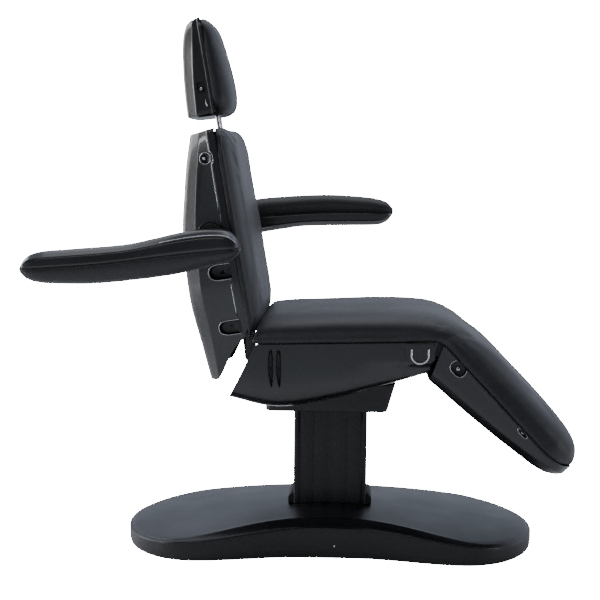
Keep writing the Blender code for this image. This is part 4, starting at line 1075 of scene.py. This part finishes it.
def make_hinge_bolts():
    """Blackened shoulder bolts in place of the plain hinge pins."""
    for joint in ("back", "leg"):
        for side in ("left", "right"):
            node = f"{joint}_pin_{side}"
            low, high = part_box(node)
            middle = (Vector(low) + Vector(high)) / 2
            reach, radius = (high[1] - low[1]) / 2, (high[0] - low[0]) / 2
            profile = [(0.0004, -reach), (radius * 0.82, -reach), (radius, -reach + 0.0010), (radius, reach - 0.0010),
                       (radius * 0.82, reach), (0.0004, reach)]
            bolt = turned_piece(node + "_bolt", profile, middle, (0, 1, 0), "frame", "seat", "frame", 28)
            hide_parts(node)


def dress_frame():
    for finish, names in CARRIED.items():
        for name in names:
            node = frame["nodes"][name]
            node.data.materials.clear()
            node.data.materials.append(MATERIALS[finish])
            if finish in ("chrome", "wood") or name.startswith("head_rod_guide"):
                continue
            weld = node.modifiers.new("joined", "WELD")
            weld.merge_threshold = 0.00002
            bevel = node.modifiers.new("soft_edges", "BEVEL")
            bevel.width = SOFT_EDGES.get(name, 0.0006)
            bevel.segments = 3
            bevel.limit_method = "ANGLE"
            bevel.angle_limit = math.radians(38)
            bevel.harden_normals = True


# ---------------------------------------------------------------- stage

WHITE = 40.0                  # strength that shows as white behind the view transform
FLOOR = 30.0                  # half the floor's side
BRIGHT_SIDE = (0.0, 0.86, 0.51)
LIT_POINT = Vector((0, 0, 0.6))
LAMPS = (("overhead", (0.0, 0.6, 3.2), (3.0, 2.0), 22.0),         # name, place, size, watts
         ("left", (-3.2, 1.2, 1.5), (1.8, 2.6), 56.0),
         ("right", (3.2, 1.0, 1.5), (1.8, 2.6), 3.0),
         ("left_strip", (-3.4, -0.9, 0.9), (0.30, 1.8), 22.0),
         ("right_strip", (3.4, -0.9, 0.9), (0.30, 1.8), 14.0),
         ("front", (-1.0, -4.2, 2.6), (2.4, 1.2), 19.0))


def white_to_camera(tree, plain, white, share, output):
    """Shows `plain` to every ray but the camera's own, which see the given share of `white`."""
    seen = add(tree, "LightPath", {}).outputs["Is Camera Ray"]
    part = add(tree, "Math", {0: seen, 1: share}, operation="MULTIPLY").outputs["Value"]
    mix = add(tree, "MixShader", {"Fac": part, 1: plain, 2: white})
    tree.links.new(mix.outputs["Shader"], tree.nodes[output].inputs["Surface"])


def stage():
    mat = bpy.data.materials.new("floor")
    mat.use_nodes = True
    tree = mat.node_tree
    shader = tree.nodes["Principled BSDF"]
    for name, value in (("Base Color", (0.86, 0.86, 0.86, 1)), ("Roughness", 0.8),
                        ("Emission Color", (0.90, 0.95, 1.0, 1)), ("Emission Strength", 0.10)):
        shader.inputs[name].default_value = value
    glow = add(tree, "Emission", {"Strength": WHITE})
    white_to_camera(tree, shader.outputs["BSDF"], glow.outputs["Emission"], 0.93, "Material Output")
    mesh = bpy.data.meshes.new("floor")
    mesh.from_pydata([(x * FLOOR, y * FLOOR, 0) for x, y in ((-1, -1), (1, -1), (1, 1), (-1, 1))], [], [(0, 1, 2, 3)])
    mesh.materials.append(mat)
    floor = bpy.data.objects.new("floor", mesh)
    floor.location.z = -0.0005
    bpy.context.scene.collection.objects.link(floor)

    world = bpy.data.worlds.new("studio")
    world.use_nodes = True
    tree = world.node_tree
    coords = add(tree, "TexCoord", {}).outputs["Generated"]
    facing = add(tree, "VectorMath", {0: coords, 1: BRIGHT_SIDE}, operation="DOT_PRODUCT").outputs["Value"]
    level = add(tree, "MapRange", {"From Min": -1.0, "Value": facing}).outputs["Result"]
    ramp = add(tree, "ValToRGB", {"Fac": level})
    stops = ramp.color_ramp.elements
    for position, value in ((0.0, 0.055), (0.42, 0.06), (0.60, 0.14), (0.80, 0.60), (1.0, 0.60)):
        stop = stops.new(position) if 0.0 < position < 1.0 else stops[0 if position == 0.0 else -1]
        stop.color = (value * 0.87, value * 0.95, value * 1.14, 1)
    around = tree.nodes["Background"]
    tree.links.new(ramp.outputs["Color"], around.inputs["Color"])
    around.inputs["Strength"].default_value = 1.0
    behind = add(tree, "Background", {"Color": (1, 1, 1, 1), "Strength": WHITE})
    white_to_camera(tree, around.outputs["Background"], behind.outputs["Background"], 1.0, "World Output")
    bpy.context.scene.world = world

    for name, at, size, energy in LAMPS:
        light = bpy.data.lights.new(name, "AREA")
        light.shape = "RECTANGLE"
        light.size, light.size_y = size
        light.energy = energy
        lamp = bpy.data.objects.new(name, light)
        lamp.location = at
        lamp.rotation_euler = (LIT_POINT - Vector(at)).to_track_quat("-Z", "Y").to_euler()
        lamp.visible_camera = False
        bpy.context.scene.collection.objects.link(lamp)


def camera():
    place = Vector((0.0566, -3.998, 0.970))
    yaw, pitch, roll = math.radians(2.0), math.radians(5.14), math.radians(0.6)
    ahead = Vector((-math.sin(yaw) * math.cos(pitch), math.cos(yaw) * math.cos(pitch), -math.sin(pitch)))
    right = Vector((math.cos(yaw), math.sin(yaw), 0))
    up = right.cross(ahead)
    right, up = right * math.cos(roll) + up * math.sin(roll), up * math.cos(roll) - right * math.sin(roll)
    data = bpy.data.cameras.new("camera")
    data.sensor_width = 36.0
    data.lens = 94.1
    eye = bpy.data.objects.new("camera", data)
    eye.matrix_world = Matrix(((right.x, up.x, -ahead.x, place.x), (right.y, up.y, -ahead.y, place.y),
                               (right.z, up.z, -ahead.z, place.z), (0, 0, 0, 1)))
    bpy.context.scene.collection.objects.link(eye)
    bpy.context.scene.camera = eye


camera()
stage()
dress_frame()
make_base()
make_column()
make_hinge_bolts()
make_seat_shell()
make_seat_pad()
make_leg_shell()
make_back_shell()
make_back_pad()
make_headrest()
for arm_side in ARMS:
    make_arm(arm_side)
